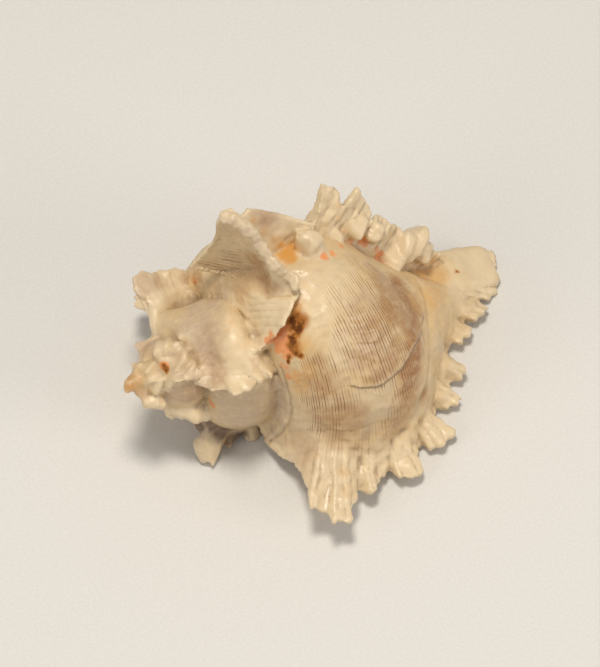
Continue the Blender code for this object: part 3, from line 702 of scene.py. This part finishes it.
# Axes of the photograph in the shell's own frame: to the right, down, and towards the camera
def picture_axes():
    side = to_space(0.0, 1.0, LIP_VIEW)
    ahead = to_space(0.0, 1.0, LIP_VIEW - 90.0)
    along = np.array([math.cos(AXIS_TILT), 0.0, 0.0]) + math.sin(AXIS_TILT) * ahead
    toward = np.array([-math.sin(AXIS_TILT), 0.0, 0.0]) + math.cos(AXIS_TILT) * ahead
    right = along * math.cos(AXIS_RISE) + side * math.sin(AXIS_RISE)
    down = side * math.cos(AXIS_RISE) - along * math.sin(AXIS_RISE)
    return right, down, toward


def make_fin():
    away = -picture_axes()[2]
    rows = smooth_curve(FIN, np.linspace(0, len(FIN) - 1, FIN_ROWS))
    across = np.linspace(0, 1, FIN_COLUMNS)
    share = across[:, None]
    rings = []
    for index, (rim_x, rim_y, rim_view, keel_x, keel_y, keel_view, hollow) in enumerate(rows):
        rim = picture_to_space(rim_x, rim_y, rim_view)
        keel = picture_to_space(keel_x, keel_y, keel_view)
        width = np.linalg.norm(rim - keel)
        ruffle = FIN_RUFFLE * math.cos(math.pi * index / FIN_RUFFLE_ROWS) * min(1.0, index / FIN_RUFFLE_START)
        rim = rim + (rim - keel) / max(width, LEAST_WIDTH) * ruffle
        outer = rim + (keel - rim) * share + away * hollow * 4 * share * (1 - share)
        rings.append(np.vstack([outer, outer[::-1] + away * FIN_THICKNESS]))
    grown = FIN_TRAIT + FIN_GROWN * np.append(across, across[::-1])
    place = FIN_TRAIT + np.linspace(0, FIN_PLACES, FIN_ROWS)[:, None]
    return skin(rings, grown, place, FIN_RISE)


# Ruffled rim of the tall frond
def make_rim():
    rows = smooth_curve(RIM, np.linspace(0, len(RIM) - 1, RIM_BEADS))
    made = []
    for index, (x, y, view_angle, radius) in enumerate(rows):
        swing = math.sin(math.pi * index / RIM_RUFFLE)
        centre = picture_to_space(x - RIM_SWING * swing, y + RIM_SWING * swing, view_angle)
        made.append(make_ball(centre, radius * (1 + RIM_SWELL * swing)))
    return made


def make_hollow():
    turns = turns_round(HOLLOW_SIDES)
    rings = []
    for angle in np.arange(HOLLOW_END, HOLLOW_START + 1, ANGLE_STEP):
        size = growth(angle)
        narrow = min(1.0, HOLLOW_NARROWEST + (angle - HOLLOW_END) / HOLLOW_WIDENING)
        distance = size * (HOLLOW_CENTRE[0] + narrow * HOLLOW_HALF[0] * np.cos(turns))
        radius = size * (HOLLOW_CENTRE[1] + narrow * HOLLOW_HALF[1] * np.sin(turns))
        rings.append(to_space(distance, radius, angle))
    return skin(rings, 0.0, 0.0, 0.0)


def make_slit():
    outward, onward = lip_directions()
    rings = []
    for (distance, radius), floor in zip((SLIT_FROM, SLIT_TO), SLIT_FLOORS):
        centre = np.array([distance, 0.0, 0.0]) + radius * outward
        corners = ((-1, floor), (1, floor), (SLIT_FLARE, SLIT_TOP), (-SLIT_FLARE, SLIT_TOP))
        rings.append(np.array([centre + a * SLIT_HALF_WIDTH * outward + b * onward for a, b in corners]))
    return skin(rings, 0.0, 0.0, 0.0)


def make_object(name, points, faces):
    mesh = bpy.data.meshes.new(name)
    mesh.from_pydata((np.asarray(points) * MM).tolist(), [], np.asarray(faces).tolist())
    made = bpy.data.objects.new(name, mesh)
    bpy.context.scene.collection.objects.link(made)
    return made


def apply_modifiers(item):
    graph = bpy.context.evaluated_depsgraph_get()
    mesh = bpy.data.meshes.new_from_object(item.evaluated_get(graph), depsgraph=graph)
    item.modifiers.clear()
    old = item.data
    item.data = mesh
    bpy.data.meshes.remove(old)


def read_vectors(item, name):
    values = np.empty(len(item.data.vertices) * 3)
    item.data.vertices.foreach_get(name, values)
    return values.reshape(-1, 3)


def read_points(item):
    return read_vectors(item, "co") / MM


def write_points(item, points):
    item.data.vertices.foreach_set("co", (points * MM).ravel())
    item.data.update()


def fuse(source, name):
    fused = make_object(name, source[0], source[1])
    remesh = fused.modifiers.new("fuse", "REMESH")
    remesh.mode = "VOXEL"
    remesh.voxel_size = VOXEL * MM
    apply_modifiers(fused)
    return fused


def join_skins(skins):
    starts = np.cumsum([0] + [len(s[0]) for s in skins[:-1]])
    points = np.vstack([s[0] for s in skins])
    faces = np.vstack([s[1] + start for s, start in zip(skins, starts)])
    return points, faces, np.vstack([s[2] for s in skins])


# Growth, place and rise of each point, from the nearest place on the swept skins
def find_traits(points, source, tree):
    corners, faces, traits = source
    nearest = [tree.find_nearest(p) for p in points.tolist()]
    face = faces[np.array([hit[2] for hit in nearest])]
    where = np.array([hit[0] for hit in nearest])
    a, b, c = (corners[face[:, k]] for k in range(3))
    ab, ac, ap = b - a, c - a, where - a
    d00, d01, d11 = (np.einsum("ij,ij->i", *pair) for pair in ((ab, ab), (ab, ac), (ac, ac)))
    d20, d21 = (np.einsum("ij,ij->i", *pair) for pair in ((ap, ab), (ap, ac)))
    scale = np.maximum(d00 * d11 - d01 * d01, 1e-12)
    second = to_share((d11 * d20 - d01 * d21) / scale)
    third = to_share((d00 * d21 - d01 * d20) / scale)
    weights = np.stack([1 - second - third, second, third], axis=1)
    return np.einsum("ij,ijk->ik", weights, traits[face])


def sample_noise(points, size, seed=0.0):
    scaled = (points / size + seed).tolist()
    return np.array([noise.noise(p) for p in scaled])


# Distance from points to a line of points
def distance_to_line(points, line):
    best = np.full(len(points), np.inf)
    for a, b in zip(line[:-1], line[1:]):
        along = b - a
        share = to_share((points - a) @ along / max(along @ along, 1e-9))
        best = np.minimum(best, np.linalg.norm(points - a - share[:, None] * along, axis=1))
    return best


# Point of the shell that the photograph shows at x, y
def pick(tree, x, y):
    right, down, toward = picture_axes()
    start = (x - APEX_PX[0]) / PX_PER_MM * right + (y - APEX_PX[1]) / PX_PER_MM * down + RAY_START * toward
    hit = tree.ray_cast(start.tolist(), (-toward).tolist())
    return None if hit[0] is None else np.array(hit[0])


def pick_line(tree, pixels):
    found = [pick(tree, x, y) for x, y in pixels]
    return np.array([p for p in found if p is not None])


# Ribs on the fronds: how strong they are at each point, and where the lip and the top varix are
def find_ribs(angle, place, on_whorl):
    at_lip = angle > LIP_FROM
    on_top = (np.abs(angle - TOP_RIB_ANGLE) < TOP_RIB_REACH) & (place > TOP_RIB_PLACE)
    plain_lip = np.where(at_lip, np.interp(place, PLAIN_LIP_PLACES, PLAIN_LIP_SHARES), 1.0)
    share = np.interp(angle, *np.array(RIB_SHARES).T) * plain_lip
    share = np.where(on_top, TOP_RIB_SHARE, np.where(on_whorl, share, 0.0))
    return share, plain_lip, at_lip & on_whorl | on_top


# Height of the fine relief along the normal, in mm
def relief(points, traits, tree, source):
    grown, place, rise = traits.T
    angle = grown * FULL_TURN
    on_whorl = place < WHORL_PLACES
    thick = np.sqrt(np.where(on_whorl, growth(np.minimum(angle, 0)), 1.0))
    rib_share, plain_lip, on_fronds = find_ribs(angle, place, on_whorl)
    wander = RIB_WANDER * sample_noise(points, *RIB_NOISE)
    ribs = np.abs(np.sin(math.pi * (place * RIBS_PER_PLACE + wander))) ** RIB_ROUNDNESS - RIB_MIDDLE
    height = RIB_HEIGHT * rib_share * thick * np.clip(rise / RIB_FULL_RISE, LEAST_RIB, 1) * ribs
    cords = np.cos(2 * math.pi * (place * CORDS_PER_PLACE + 0.5 * wander))
    height += CORD_HEIGHT * thick * np.where(on_whorl, 1.0, 0.0) * cords
    fold = angle / FOLD_DEGREES + FOLD_WANDER * sample_noise(points, *FOLD_NOISE)
    fold += FOLD_SWING * np.sin(angle / FOLD_SWING_DEGREES)
    saw = fold - np.floor(fold)
    fold_height = 1 + FOLD_VARIETY * sample_noise(points, *FOLD_HEIGHT_NOISE)
    height += FOLD_HEIGHT * thick * (saw ** 3 - FOLD_MIDDLE) * fold_height
    lumpy = np.where(on_fronds, 1.0, LUMPY_ELSEWHERE) * to_share(rise / LUMPY_RISE)
    height += VARIX_LUMPS * thick * lumpy * plain_lip * sample_noise(points, *VARIX_LUMP_NOISE)
    for scale, depth in WEAR_SIZES:
        height += depth * sample_noise(points, scale, scale)
    for rise_at_line, width, pixels in LINES_OF_RELIEF:
        away = distance_to_line(points, pick_line(tree, pixels))
        height += rise_at_line * np.exp(-(away / width) ** 2)
    return height + old_edge_step(points, traits, tree, source)


# Step at the end of the older layer: raised behind the edge, and dropping to nothing in front of it
def old_edge_step(points, traits, tree, source):
    offset, inside = old_edge_offset(points, traits, tree, source)
    return OLD_EDGE_STEP * inside * (offset > 0) * np.exp(-offset.clip(0) / OLD_EDGE_FADE)


# Distance in mm behind (+) the end of the older layer, and where along the edge it counts
def old_edge_offset(points, traits, tree, source):
    line = pick_line(tree, OLD_EDGE_PX)
    edge = find_traits(line, source, tree)
    order = np.argsort(edge[:, 1])
    places, angles = edge[order, 1], edge[order, 0] * FULL_TURN
    at_edge = np.interp(traits[:, 1], places, angles)
    arm = np.linalg.norm(points[:, 1:], axis=1)
    offset = np.radians(at_edge - traits[:, 0] * FULL_TURN) * arm
    side = np.minimum(traits[:, 1] - places[0], places[-1] - traits[:, 1])
    inside = to_share(side / OLD_EDGE_END + 0.5) * (np.abs(offset) < OLD_EDGE_REACH)
    return offset, inside


def reduce_triangles(item, target):
    triangulate = item.modifiers.new("triangles", "TRIANGULATE")
    triangulate.quad_method = "SHORTEST_DIAGONAL"
    apply_modifiers(item)
    decimate = item.modifiers.new("reduce", "DECIMATE")
    decimate.ratio = min(1.0, target / len(item.data.polygons))
    apply_modifiers(item)


def cut(item, cutter_skin):
    cutter = make_object("cutter", cutter_skin[0], cutter_skin[1])
    boolean = item.modifiers.new("cut", "BOOLEAN")
    boolean.operation = "DIFFERENCE"
    boolean.solver = "MANIFOLD"
    boolean.object = cutter
    apply_modifiers(item)
    bpy.data.objects.remove(cutter, do_unlink=True)


def rest_turn():
    return Vector(REST_DOWN).rotation_difference(Vector((0.0, 0.0, -1.0))).to_matrix()


# Turns the shell to the way it rests, and flattens it where it touches the ground
def settle(item):
    item.data.transform(rest_turn().to_4x4())
    item.data.transform(Matrix.Translation(Vector(REST_SHIFT) * MM))
    points = read_points(item)
    points[:, 2] = np.maximum(points[:, 2], 0.0)
    write_points(item, points)


# Points moved towards the mean of their neighbours, each by its own share
def smooth_points(item, points, rounds, share):
    edges = np.empty(len(item.data.edges) * 2, dtype=int)
    item.data.edges.foreach_get("vertices", edges)
    a, b = edges.reshape(-1, 2).T
    total = len(points)
    count = np.bincount(np.append(a, b), minlength=total)[:, None]
    smooth = points.copy()
    for _ in range(rounds):
        around = [np.bincount(a, smooth[b, k], total) + np.bincount(b, smooth[a, k], total) for k in range(3)]
        smooth = smooth + share * (np.stack(around, axis=1) / count - smooth)
    return smooth


# How deep each point lies below the skin's average around it, from -1 to 1
def cavity(item, rounds, reach):
    points = read_points(item)
    smooth = smooth_points(item, points, rounds, SMOOTHING)
    return np.clip(np.einsum("ij,ij->i", smooth - points, read_vectors(item, "normal")) / reach, -1, 1)


# Wears spots and the oldest whorls smooth, and blends the lumps into what carries them
def blend_lumps(item, points, tree):
    share = np.zeros(len(points))
    for x, y, radius in WORN_SPOTS:
        away = np.linalg.norm(points - pick(tree, x, y), axis=1) / radius
        share = np.maximum(share, to_share(SPOT_SHARPNESS * (1 - away)))
    points = smooth_points(item, points, WORN_ROUNDS, SMOOTHING * share[:, None])
    share = to_share((WORN_DISTANCE - points[:, 0]) / WORN_FADE)
    for x, y, view_angle, radius in LUMPS:
        away = np.linalg.norm(points - picture_to_space(x, y, view_angle), axis=1) / radius
        share = np.maximum(share, to_share(SPOT_SHARPNESS * (LUMP_BLEND_REACH - away)))
    return smooth_points(item, points, LUMP_BLEND_ROUNDS, SMOOTHING * share[:, None])


def add_trait(item, name, values):
    attribute = item.data.attributes.new(name, "FLOAT", "POINT")
    attribute.data.foreach_set("value", np.asarray(values, dtype=np.float32))


# Strength of each kind of mark at each point
def find_marks(points, tree):
    marks = {kind: np.zeros(len(points)) for kind in MARKS}
    ragged = sum(share * sample_noise(points, size, seed) for share, size, seed in MARK_RAGS)
    for kind, spots in MARKS.items():
        for x, y, radius, strength in spots:
            away = np.linalg.norm(points - pick(tree, x, y), axis=1) / radius + ragged
            marks[kind] = np.maximum(marks[kind], strength * to_share(MARK_FULL - MARK_FALL * away))
    return marks


def find_patches(points, middle, contrast, size, seed):
    return to_share(middle + contrast * sample_noise(points, size, seed))


# Washes and lines on the side away from the camera, in patches like those in the photograph
def mark_far_side(marks, points, normals, traits):
    grown, place, rise = traits.T
    share = to_share(-normals @ picture_axes()[2] * FAR_SIDE_FACING) * (place < WHORL_PLACES)
    share *= to_share(1 - rise / FAR_SIDE_RISE) * np.interp(place, FAR_SIDE_PLACES, FAR_SIDE_SHARES)
    share *= np.interp(grown * FULL_TURN, FAR_SIDE_ANGLES, FAR_SIDE_STRENGTHS)
    marks["lines"] = np.maximum(marks["lines"], share * find_patches(points, *FAR_LINES))
    washes = FAR_WASH_STRENGTH * share * find_patches(points, *FAR_WASHES)
    marks["wash_and_shade"] = np.maximum(marks["wash_and_shade"], washes)


def make_shell():
    source = join_skins([make_whorls(), make_canal(), make_fin()] + make_rim() + make_lumps())
    tree = BVHTree.FromPolygons(source[0].tolist(), source[1].tolist(), all_triangles=True)
    shell = fuse(source, "shell")
    points = blend_lumps(shell, read_points(shell), tree)
    write_points(shell, points)
    traits = find_traits(points, source, tree)
    height = relief(points, traits, tree, source)
    write_points(shell, points + read_vectors(shell, "normal") * height[:, None])
    reduce_triangles(shell, SHELL_TRIANGLES)
    cut(shell, make_hollow())
    cut(shell, make_slit())
    points = read_points(shell)
    traits = find_traits(points, source, tree)
    marks = find_marks(points, tree)
    mark_far_side(marks, points, read_vectors(shell, "normal"), traits)
    offset, inside = old_edge_offset(points, traits, tree, source)
    named = dict(zip(("grown", "place", "rise"), traits.T))
    named["older"] = np.where(inside > 0.5, offset, NOT_OLDER)
    named["cavity"] = cavity(shell, *CLOSE_CAVITY)
    named["basin"] = cavity(shell, *BROAD_CAVITY)
    settle(shell)
    for name, values in {**named, **marks}.items():
        add_trait(shell, name, values)
    shell.data.shade_smooth()
    return shell


# Node graph written as short calls
class Graph:
    def __init__(self, material):
        material.use_nodes = True
        self.tree = material.node_tree
        self.shader = self.tree.nodes["Principled BSDF"]

    def put(self, socket, value):
        if isinstance(value, bpy.types.NodeSocket):
            self.tree.links.new(value, socket)
        else:
            socket.default_value = value

    def give(self, name, value):
        self.put(self.shader.inputs[name], value)

    def math(self, operation, a, b=0.0, c=0.0, clamp=False):
        node = self.tree.nodes.new("ShaderNodeMath")
        node.operation = operation
        node.use_clamp = clamp
        for socket, value in zip(node.inputs, (a, b, c)):
            self.put(socket, value)
        return node.outputs[0]

    def times(self, a, b):
        return self.math("MULTIPLY", a, b)

    def plus(self, a, b):
        return self.math("ADD", a, b)

    def trait(self, name):
        node = self.tree.nodes.new("ShaderNodeAttribute")
        node.attribute_name = name
        return node.outputs["Fac"]

    def mix(self, share, a, b, kind="MIX"):
        node = self.tree.nodes.new("ShaderNodeMix")
        node.data_type = "RGBA"
        node.blend_type = kind
        self.put(node.inputs[0], share)
        self.put(node.inputs[6], a)
        self.put(node.inputs[7], b)
        return node.outputs[2]

    def ramp(self, value, low, high, to_low=0.0, to_high=1.0):
        node = self.tree.nodes.new("ShaderNodeMapRange")
        node.interpolation_type = "SMOOTHSTEP"
        for socket, given in zip(node.inputs, (value, low, high, to_low, to_high)):
            self.put(socket, given)
        return node.outputs[0]

    def vector(self, x, y, z):
        node = self.tree.nodes.new("ShaderNodeCombineXYZ")
        for socket, value in zip(node.inputs, (x, y, z)):
            self.put(socket, value)
        return node.outputs[0]

    def noise(self, vector, scale, detail=3.0, rough=0.55):
        node = self.tree.nodes.new("ShaderNodeTexNoise")
        self.put(node.inputs["Vector"], vector)
        node.inputs["Scale"].default_value = scale
        node.inputs["Detail"].default_value = detail
        node.inputs["Roughness"].default_value = rough
        return node.outputs["Fac"]

    # Noise drawn out along the growth: cycles per whorl and per place, offset, scale and detail
    def streaks(self, grown, place, settings):
        per_whorl, per_place, offset, scale, detail = settings
        where = self.vector(self.times(grown, per_whorl), self.times(place, per_place), offset)
        return self.noise(where, scale, detail)

    def where(self):
        return self.tree.nodes.new("ShaderNodeTexCoord").outputs["Object"]

    # Mark of one kind, broken up by the fine noise
    def mark(self, kind, fine):
        return self.times(self.trait(kind), self.ramp(fine, *BREAK_UP[kind]))

    def bump(self, height, strength, distance, normal=None):
        node = self.tree.nodes.new("ShaderNodeBump")
        node.inputs["Strength"].default_value = strength
        node.inputs["Distance"].default_value = distance
        self.put(node.inputs["Height"], height)
        if normal is not None:
            self.put(node.inputs["Normal"], normal)
        return node.outputs[0]


# Colours of the shell
CREAM = (0.64, 0.485, 0.28, 1)
WARM_CREAM = (0.68, 0.485, 0.25, 1)
WHITE = (0.77, 0.62, 0.405, 1)
MAUVE = (0.50, 0.375, 0.265, 1)
# Brown of the wash, also used as painted shade
WASH_AND_SHADE = (0.36, 0.155, 0.038, 1)
LINE = (0.20, 0.085, 0.032, 1)
STAIN = (0.12, 0.036, 0.006, 1)
RUST = (0.42, 0.16, 0.03, 1)
ORANGE = (0.80, 0.28, 0.09, 1)
AMBER = (0.62, 0.29, 0.055, 1)
TAN = (0.66, 0.38, 0.13, 1)
# Colour of the painted shade in cracks, hollows and below the older layer's edge
PAINTED_SHADE = (0.26, 0.16, 0.085, 1)
# Colour of the painted shadow by the lower left spine
PAINTED_SHADOW = (0.16, 0.095, 0.055, 1)

# Noise over the shell: cycles per metre and detail
BLOTCH = (90.0, 3.0)
FINE = (420.0, 4.0)
GRAIN = (1500.0, 4.0, 0.6)

# Noise along the growth: cycles per whorl and per place, offset, scale and detail
STREAK = (60.0, 0.8, 0.0, 1.6, 4.0)
THREAD_STREAK = (9.0, 9.0, 2.0, 1.0, 3.0)
LINE_BREAKS = (34.0, 5.6, 5.0, 1.0, 3.0)
GROWTH_LINES = (420.0, 1.1, 0.0, 1.0, 3.0)

# How the fine noise breaks up each kind of mark: noise from and to, and the shares there
BREAK_UP = {
    "grey": (0.2, 0.8, 0.65, 1.0), "tan": (0.3, 0.7, 0.6, 1.0), "amber": (0.2, 0.7, 0.8, 1.1),
    "orange": (0.3, 0.65, 0.35, 1.2), "stain": (0.20, 0.45, 0.25, 1.0), "painted_shadow": (0.2, 0.7, 0.6, 0.85),
}

# Shares laid over the shell: value from and to, and the shares there where they aren't 0 and 1
WARM_BLOTCHES = (0.35, 0.65)
HIGH_RISE = (2.0, 8.0, 0.0, 0.85)
MAUVE_STREAKS = (0.40, 0.75, 0.0, 0.30)
WHITE_STREAKS = (0.55, 0.25, 0.0, 0.25)
WASH_STREAKS = (0.45, 0.9, 0.5, 1.0)
AMBER_EDGE = (0.1, 0.9, 0.0, 0.9)
ORANGE_EDGE = (0.2, 0.8, 0.0, 0.85)
RUST_EDGE = (0.02, 0.65)
STAIN_FLECKS = (0.3, 0.7, 0.7, 1.15)
STAIN_EDGE = (0.40, 0.95)
# Painted shade: darker in cracks and in broad hollows, where shade falls
SHADE_IN_CRACKS = (0.15, 0.9, 0.0, 0.45)
SHADE_IN_BASINS = (0.1, 1.0, 0.0, 0.30)
WORN_WHITE = (-0.1, -0.8)
OLDER_RISE = (-1.6, -0.1)
OLDER_FALL = (0.35, 0.0)
RISE_BLOTCHES = 3.0
PALE_SHARE = 0.85
FINE_IN_WASH = 0.5
WORN_SHARE = 0.35
STAIN_KEEPS_DARK = 2.0
OLDER_SHADE = 0.7

# Brown lines along the whorl: number per place, wander, and widths from the thread noise
LINES_PER_PLACE = 7.4
LINE_WANDER = 0.9
LINE_WIDTHS = (0.30, 0.70, 0.02, 0.19)
LINE_EDGE = (0.06, -0.04)
LINE_GAPS = (0.36, 0.52)
LINE_SHARE = 0.95
LINE_MARKS = (0.05, 0.9)

# Gloss and fine relief of the surface
ROUGHNESS = (0.3, 0.7, 0.28, 0.56)
STAIN_ROUGHNESS = 0.6
STAIN_SPECULAR = (0.0, 0.5, 0.5, 0.15)
STAIN_COAT = (0.0, 0.5, 0.22, 0.0)
COAT_ROUGHNESS = 0.30
THREAD_RELIEF = (0.0, 0.5)
THREAD_STRENGTHS = (0.2, 0.8, 0.5, 1.0)
GROWTH_LINE_RELIEF = 0.5
LINE_BUMP = (0.22, 0.16 * MM)
GRAIN_BUMP = (0.25, 0.12 * MM)


# Ivory ground with its warm blotches, whiter crests, grey and pale places and streaks, and the brown wash,
# which also carries painted shade
def ground_colour(g, blotch, fine, streak):
    colour = g.mix(g.ramp(blotch, *WARM_BLOTCHES), CREAM, WARM_CREAM)
    rise = g.plus(g.trait("rise"), g.times(blotch, RISE_BLOTCHES))
    colour = g.mix(g.ramp(rise, *HIGH_RISE), colour, WHITE)
    colour = g.mix(g.mark("grey", fine), colour, MAUVE)
    colour = g.mix(g.times(g.trait("pale"), PALE_SHARE), colour, WHITE)
    colour = g.mix(g.ramp(streak, *MAUVE_STREAKS), colour, MAUVE)
    colour = g.mix(g.ramp(streak, *WHITE_STREAKS), colour, WHITE)
    # Brown wash, partly painted shade under the tall frond's rim and by the lower left spine
    wash_and_shade = g.ramp(g.plus(streak, g.times(fine, FINE_IN_WASH)), *WASH_STREAKS)
    return g.mix(g.times(g.trait("wash_and_shade"), wash_and_shade), colour, WASH_AND_SHADE)


# Brown lines along the whorl, broken and of uneven width
def add_lines(g, colour, grown, place, wave, thread_streak):
    width = g.ramp(thread_streak, *LINE_WIDTHS)
    line = g.ramp(g.math("SUBTRACT", wave, width), *LINE_EDGE)
    broken = g.ramp(g.streaks(grown, place, LINE_BREAKS), *LINE_GAPS)
    line = g.times(g.times(line, broken), g.ramp(g.trait("lines"), *LINE_MARKS))
    return g.mix(g.times(line, LINE_SHARE), colour, LINE)


# Tan, amber, orange and rust marks, and the painted shadow by the lower left spine
def add_marks(g, colour, fine, rust):
    colour = g.mix(g.mark("tan", fine), colour, TAN)
    colour = g.mix(g.ramp(g.mark("amber", fine), *AMBER_EDGE), colour, AMBER)
    colour = g.mix(g.ramp(g.mark("orange", fine), *ORANGE_EDGE), colour, ORANGE)
    colour = g.mix(g.ramp(rust, *RUST_EDGE), colour, RUST)
    colour = g.mix(g.ramp(g.times(rust, g.ramp(fine, *STAIN_FLECKS)), *STAIN_EDGE), colour, STAIN)
    # Painted shadow by the lower left spine
    return g.mix(g.mark("painted_shadow", fine), colour, PAINTED_SHADOW)


# Painted shade in the cracks and broad hollows, white on the worn edges and a painted shadow at the end of
# the older layer
def add_shade_and_wear(g, colour, rust):
    # Painted shade in cracks and broad hollows
    colour = g.mix(g.ramp(g.trait("cavity"), *SHADE_IN_CRACKS), colour, PAINTED_SHADE)
    colour = g.mix(g.ramp(g.trait("basin"), *SHADE_IN_BASINS), colour, PAINTED_SHADE)
    worn = g.ramp(g.trait("cavity"), *WORN_WHITE)
    worn = g.math("SUBTRACT", worn, g.times(rust, STAIN_KEEPS_DARK), clamp=True)
    colour = g.mix(g.times(worn, WORN_SHARE), colour, WHITE)
    edge = g.trait("older")
    shade = g.times(g.ramp(edge, *OLDER_RISE), g.ramp(edge, *OLDER_FALL))
    return g.mix(g.times(shade, OLDER_SHADE), colour, PAINTED_SHADE)


def make_shell_material():
    material = bpy.data.materials.new("grown_ivory_shell")
    g = Graph(material)
    where = g.where()
    grown, place = g.trait("grown"), g.trait("place")
    blotch = g.noise(where, *BLOTCH)
    fine = g.noise(where, *FINE)
    streak = g.streaks(grown, place, STREAK)
    thread_streak = g.streaks(grown, place, THREAD_STREAK)
    wave = g.math("PINGPONG", g.plus(g.times(place, LINES_PER_PLACE), g.times(blotch, LINE_WANDER)), 0.5)
    rust = g.mark("stain", fine)

    colour = ground_colour(g, blotch, fine, streak)
    colour = add_lines(g, colour, grown, place, wave, thread_streak)
    colour = add_marks(g, colour, fine, rust)
    g.give("Base Color", add_shade_and_wear(g, colour, rust))

    rough = g.ramp(g.plus(g.times(fine, 0.5), g.times(blotch, 0.5)), *ROUGHNESS)
    g.give("Roughness", g.math("MAXIMUM", rough, g.times(rust, STAIN_ROUGHNESS)))
    g.give("Specular IOR Level", g.ramp(rust, *STAIN_SPECULAR))
    g.give("Coat Weight", g.ramp(rust, *STAIN_COAT))
    g.give("Coat Roughness", COAT_ROUGHNESS)

    threads = g.times(g.ramp(wave, *THREAD_RELIEF), g.ramp(thread_streak, *THREAD_STRENGTHS))
    growth_lines = g.times(g.streaks(grown, place, GROWTH_LINES), GROWTH_LINE_RELIEF)
    normal = g.bump(g.plus(threads, growth_lines), *LINE_BUMP)
    normal = g.bump(g.noise(where, *GRAIN), *GRAIN_BUMP, normal)
    g.give("Normal", normal)
    return material


# Floor: half side in m, grain in cycles per metre, and its two greys
FLOOR_HALF = 2.4
FLOOR_GRAIN = 900.0
FLOOR_BLEND = (0.3, 0.7)
FLOOR_DARK = (0.70, 0.69, 0.67, 1)
FLOOR_LIGHT = (0.74, 0.73, 0.71, 1)
FLOOR_ROUGHNESS = 0.8


def make_floor():
    corners = np.array([(-1, -1, 0), (1, -1, 0), (1, 1, 0), (-1, 1, 0)]) * FLOOR_HALF / MM
    floor = make_object("floor", corners, [(0, 1, 2, 3)])
    material = bpy.data.materials.new("pale_paper")
    g = Graph(material)
    grain = g.ramp(g.noise(g.where(), FLOOR_GRAIN), *FLOOR_BLEND)
    g.give("Base Color", g.mix(grain, FLOOR_DARK, FLOOR_LIGHT))
    g.give("Roughness", FLOOR_ROUGHNESS)
    floor.data.materials.append(material)


def make_camera(centre):
    turn = np.array(rest_turn())
    right, down, toward = (turn @ axis for axis in picture_axes())
    across = (PICTURE_SIZE[0] / 2 - APEX_PX[0]) / PX_PER_MM
    below = (PICTURE_SIZE[1] / 2 - APEX_PX[1]) / PX_PER_MM
    aim = np.array(REST_SHIFT) + across * right + below * down
    aim = aim + ((centre - aim) @ toward) * toward
    data = bpy.data.cameras.new("camera")
    data.sensor_width = SENSOR
    data.lens = SENSOR * CAMERA_DISTANCE / (PICTURE_SIZE[1] / PX_PER_MM)
    data.clip_start, data.clip_end = CLIP_M
    camera = bpy.data.objects.new("camera", data)
    bpy.context.scene.collection.objects.link(camera)
    camera.matrix_world = Matrix(np.column_stack([right, -down, toward]).tolist()).to_4x4()
    camera.location = Vector((aim + CAMERA_DISTANCE * toward) * MM)
    bpy.context.scene.camera = camera
    return right, -down, toward, aim


# Lights: place in m along the picture's right, up and towards the camera, size in m, power in W and colour
LIGHTS = {
    "key": ((-0.06, 0.60, 0.98), 0.28, 8.4, (1.0, 0.93, 0.82)),
    "fill": ((-0.9, -0.2, 0.8), 0.7, 3.2, (1.0, 0.95, 0.88)),
    "rim": ((0.9, -0.1, 0.6), 0.5, 3.0, (1.0, 0.94, 0.86)),
}
ROOM_COLOUR = (1.0, 0.98, 0.95, 1)
ROOM_STRENGTH = 0.31


# Area light aimed at the shell
def make_light(name, axes, place, size, power, colour):
    right, up, toward, aim = axes
    spot = aim * MM + place[0] * right + place[1] * up + place[2] * toward
    data = bpy.data.lights.new(name, "AREA")
    data.shape = "DISK"
    data.size = size
    data.energy = power
    data.color = colour
    light = bpy.data.objects.new(name, data)
    bpy.context.scene.collection.objects.link(light)
    light.location = Vector(spot)
    light.rotation_mode = "QUATERNION"
    light.rotation_quaternion = Vector(aim * MM - spot).to_track_quat("-Z", "Y")


def light_scene(axes):
    for name, settings in LIGHTS.items():
        make_light(name, axes, *settings)
    world = bpy.data.worlds.new("studio")
    world.use_nodes = True
    background = world.node_tree.nodes["Background"]
    background.inputs["Color"].default_value = ROOM_COLOUR
    background.inputs["Strength"].default_value = ROOM_STRENGTH
    bpy.context.scene.world = world
    bpy.context.scene.view_settings.view_transform = "Standard"


shell = make_shell()
shell.data.materials.clear()
shell.data.materials.append(make_shell_material())
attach(shell, "root")
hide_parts("murex_shell")
make_floor()
light_scene(make_camera(read_points(shell).mean(axis=0)))
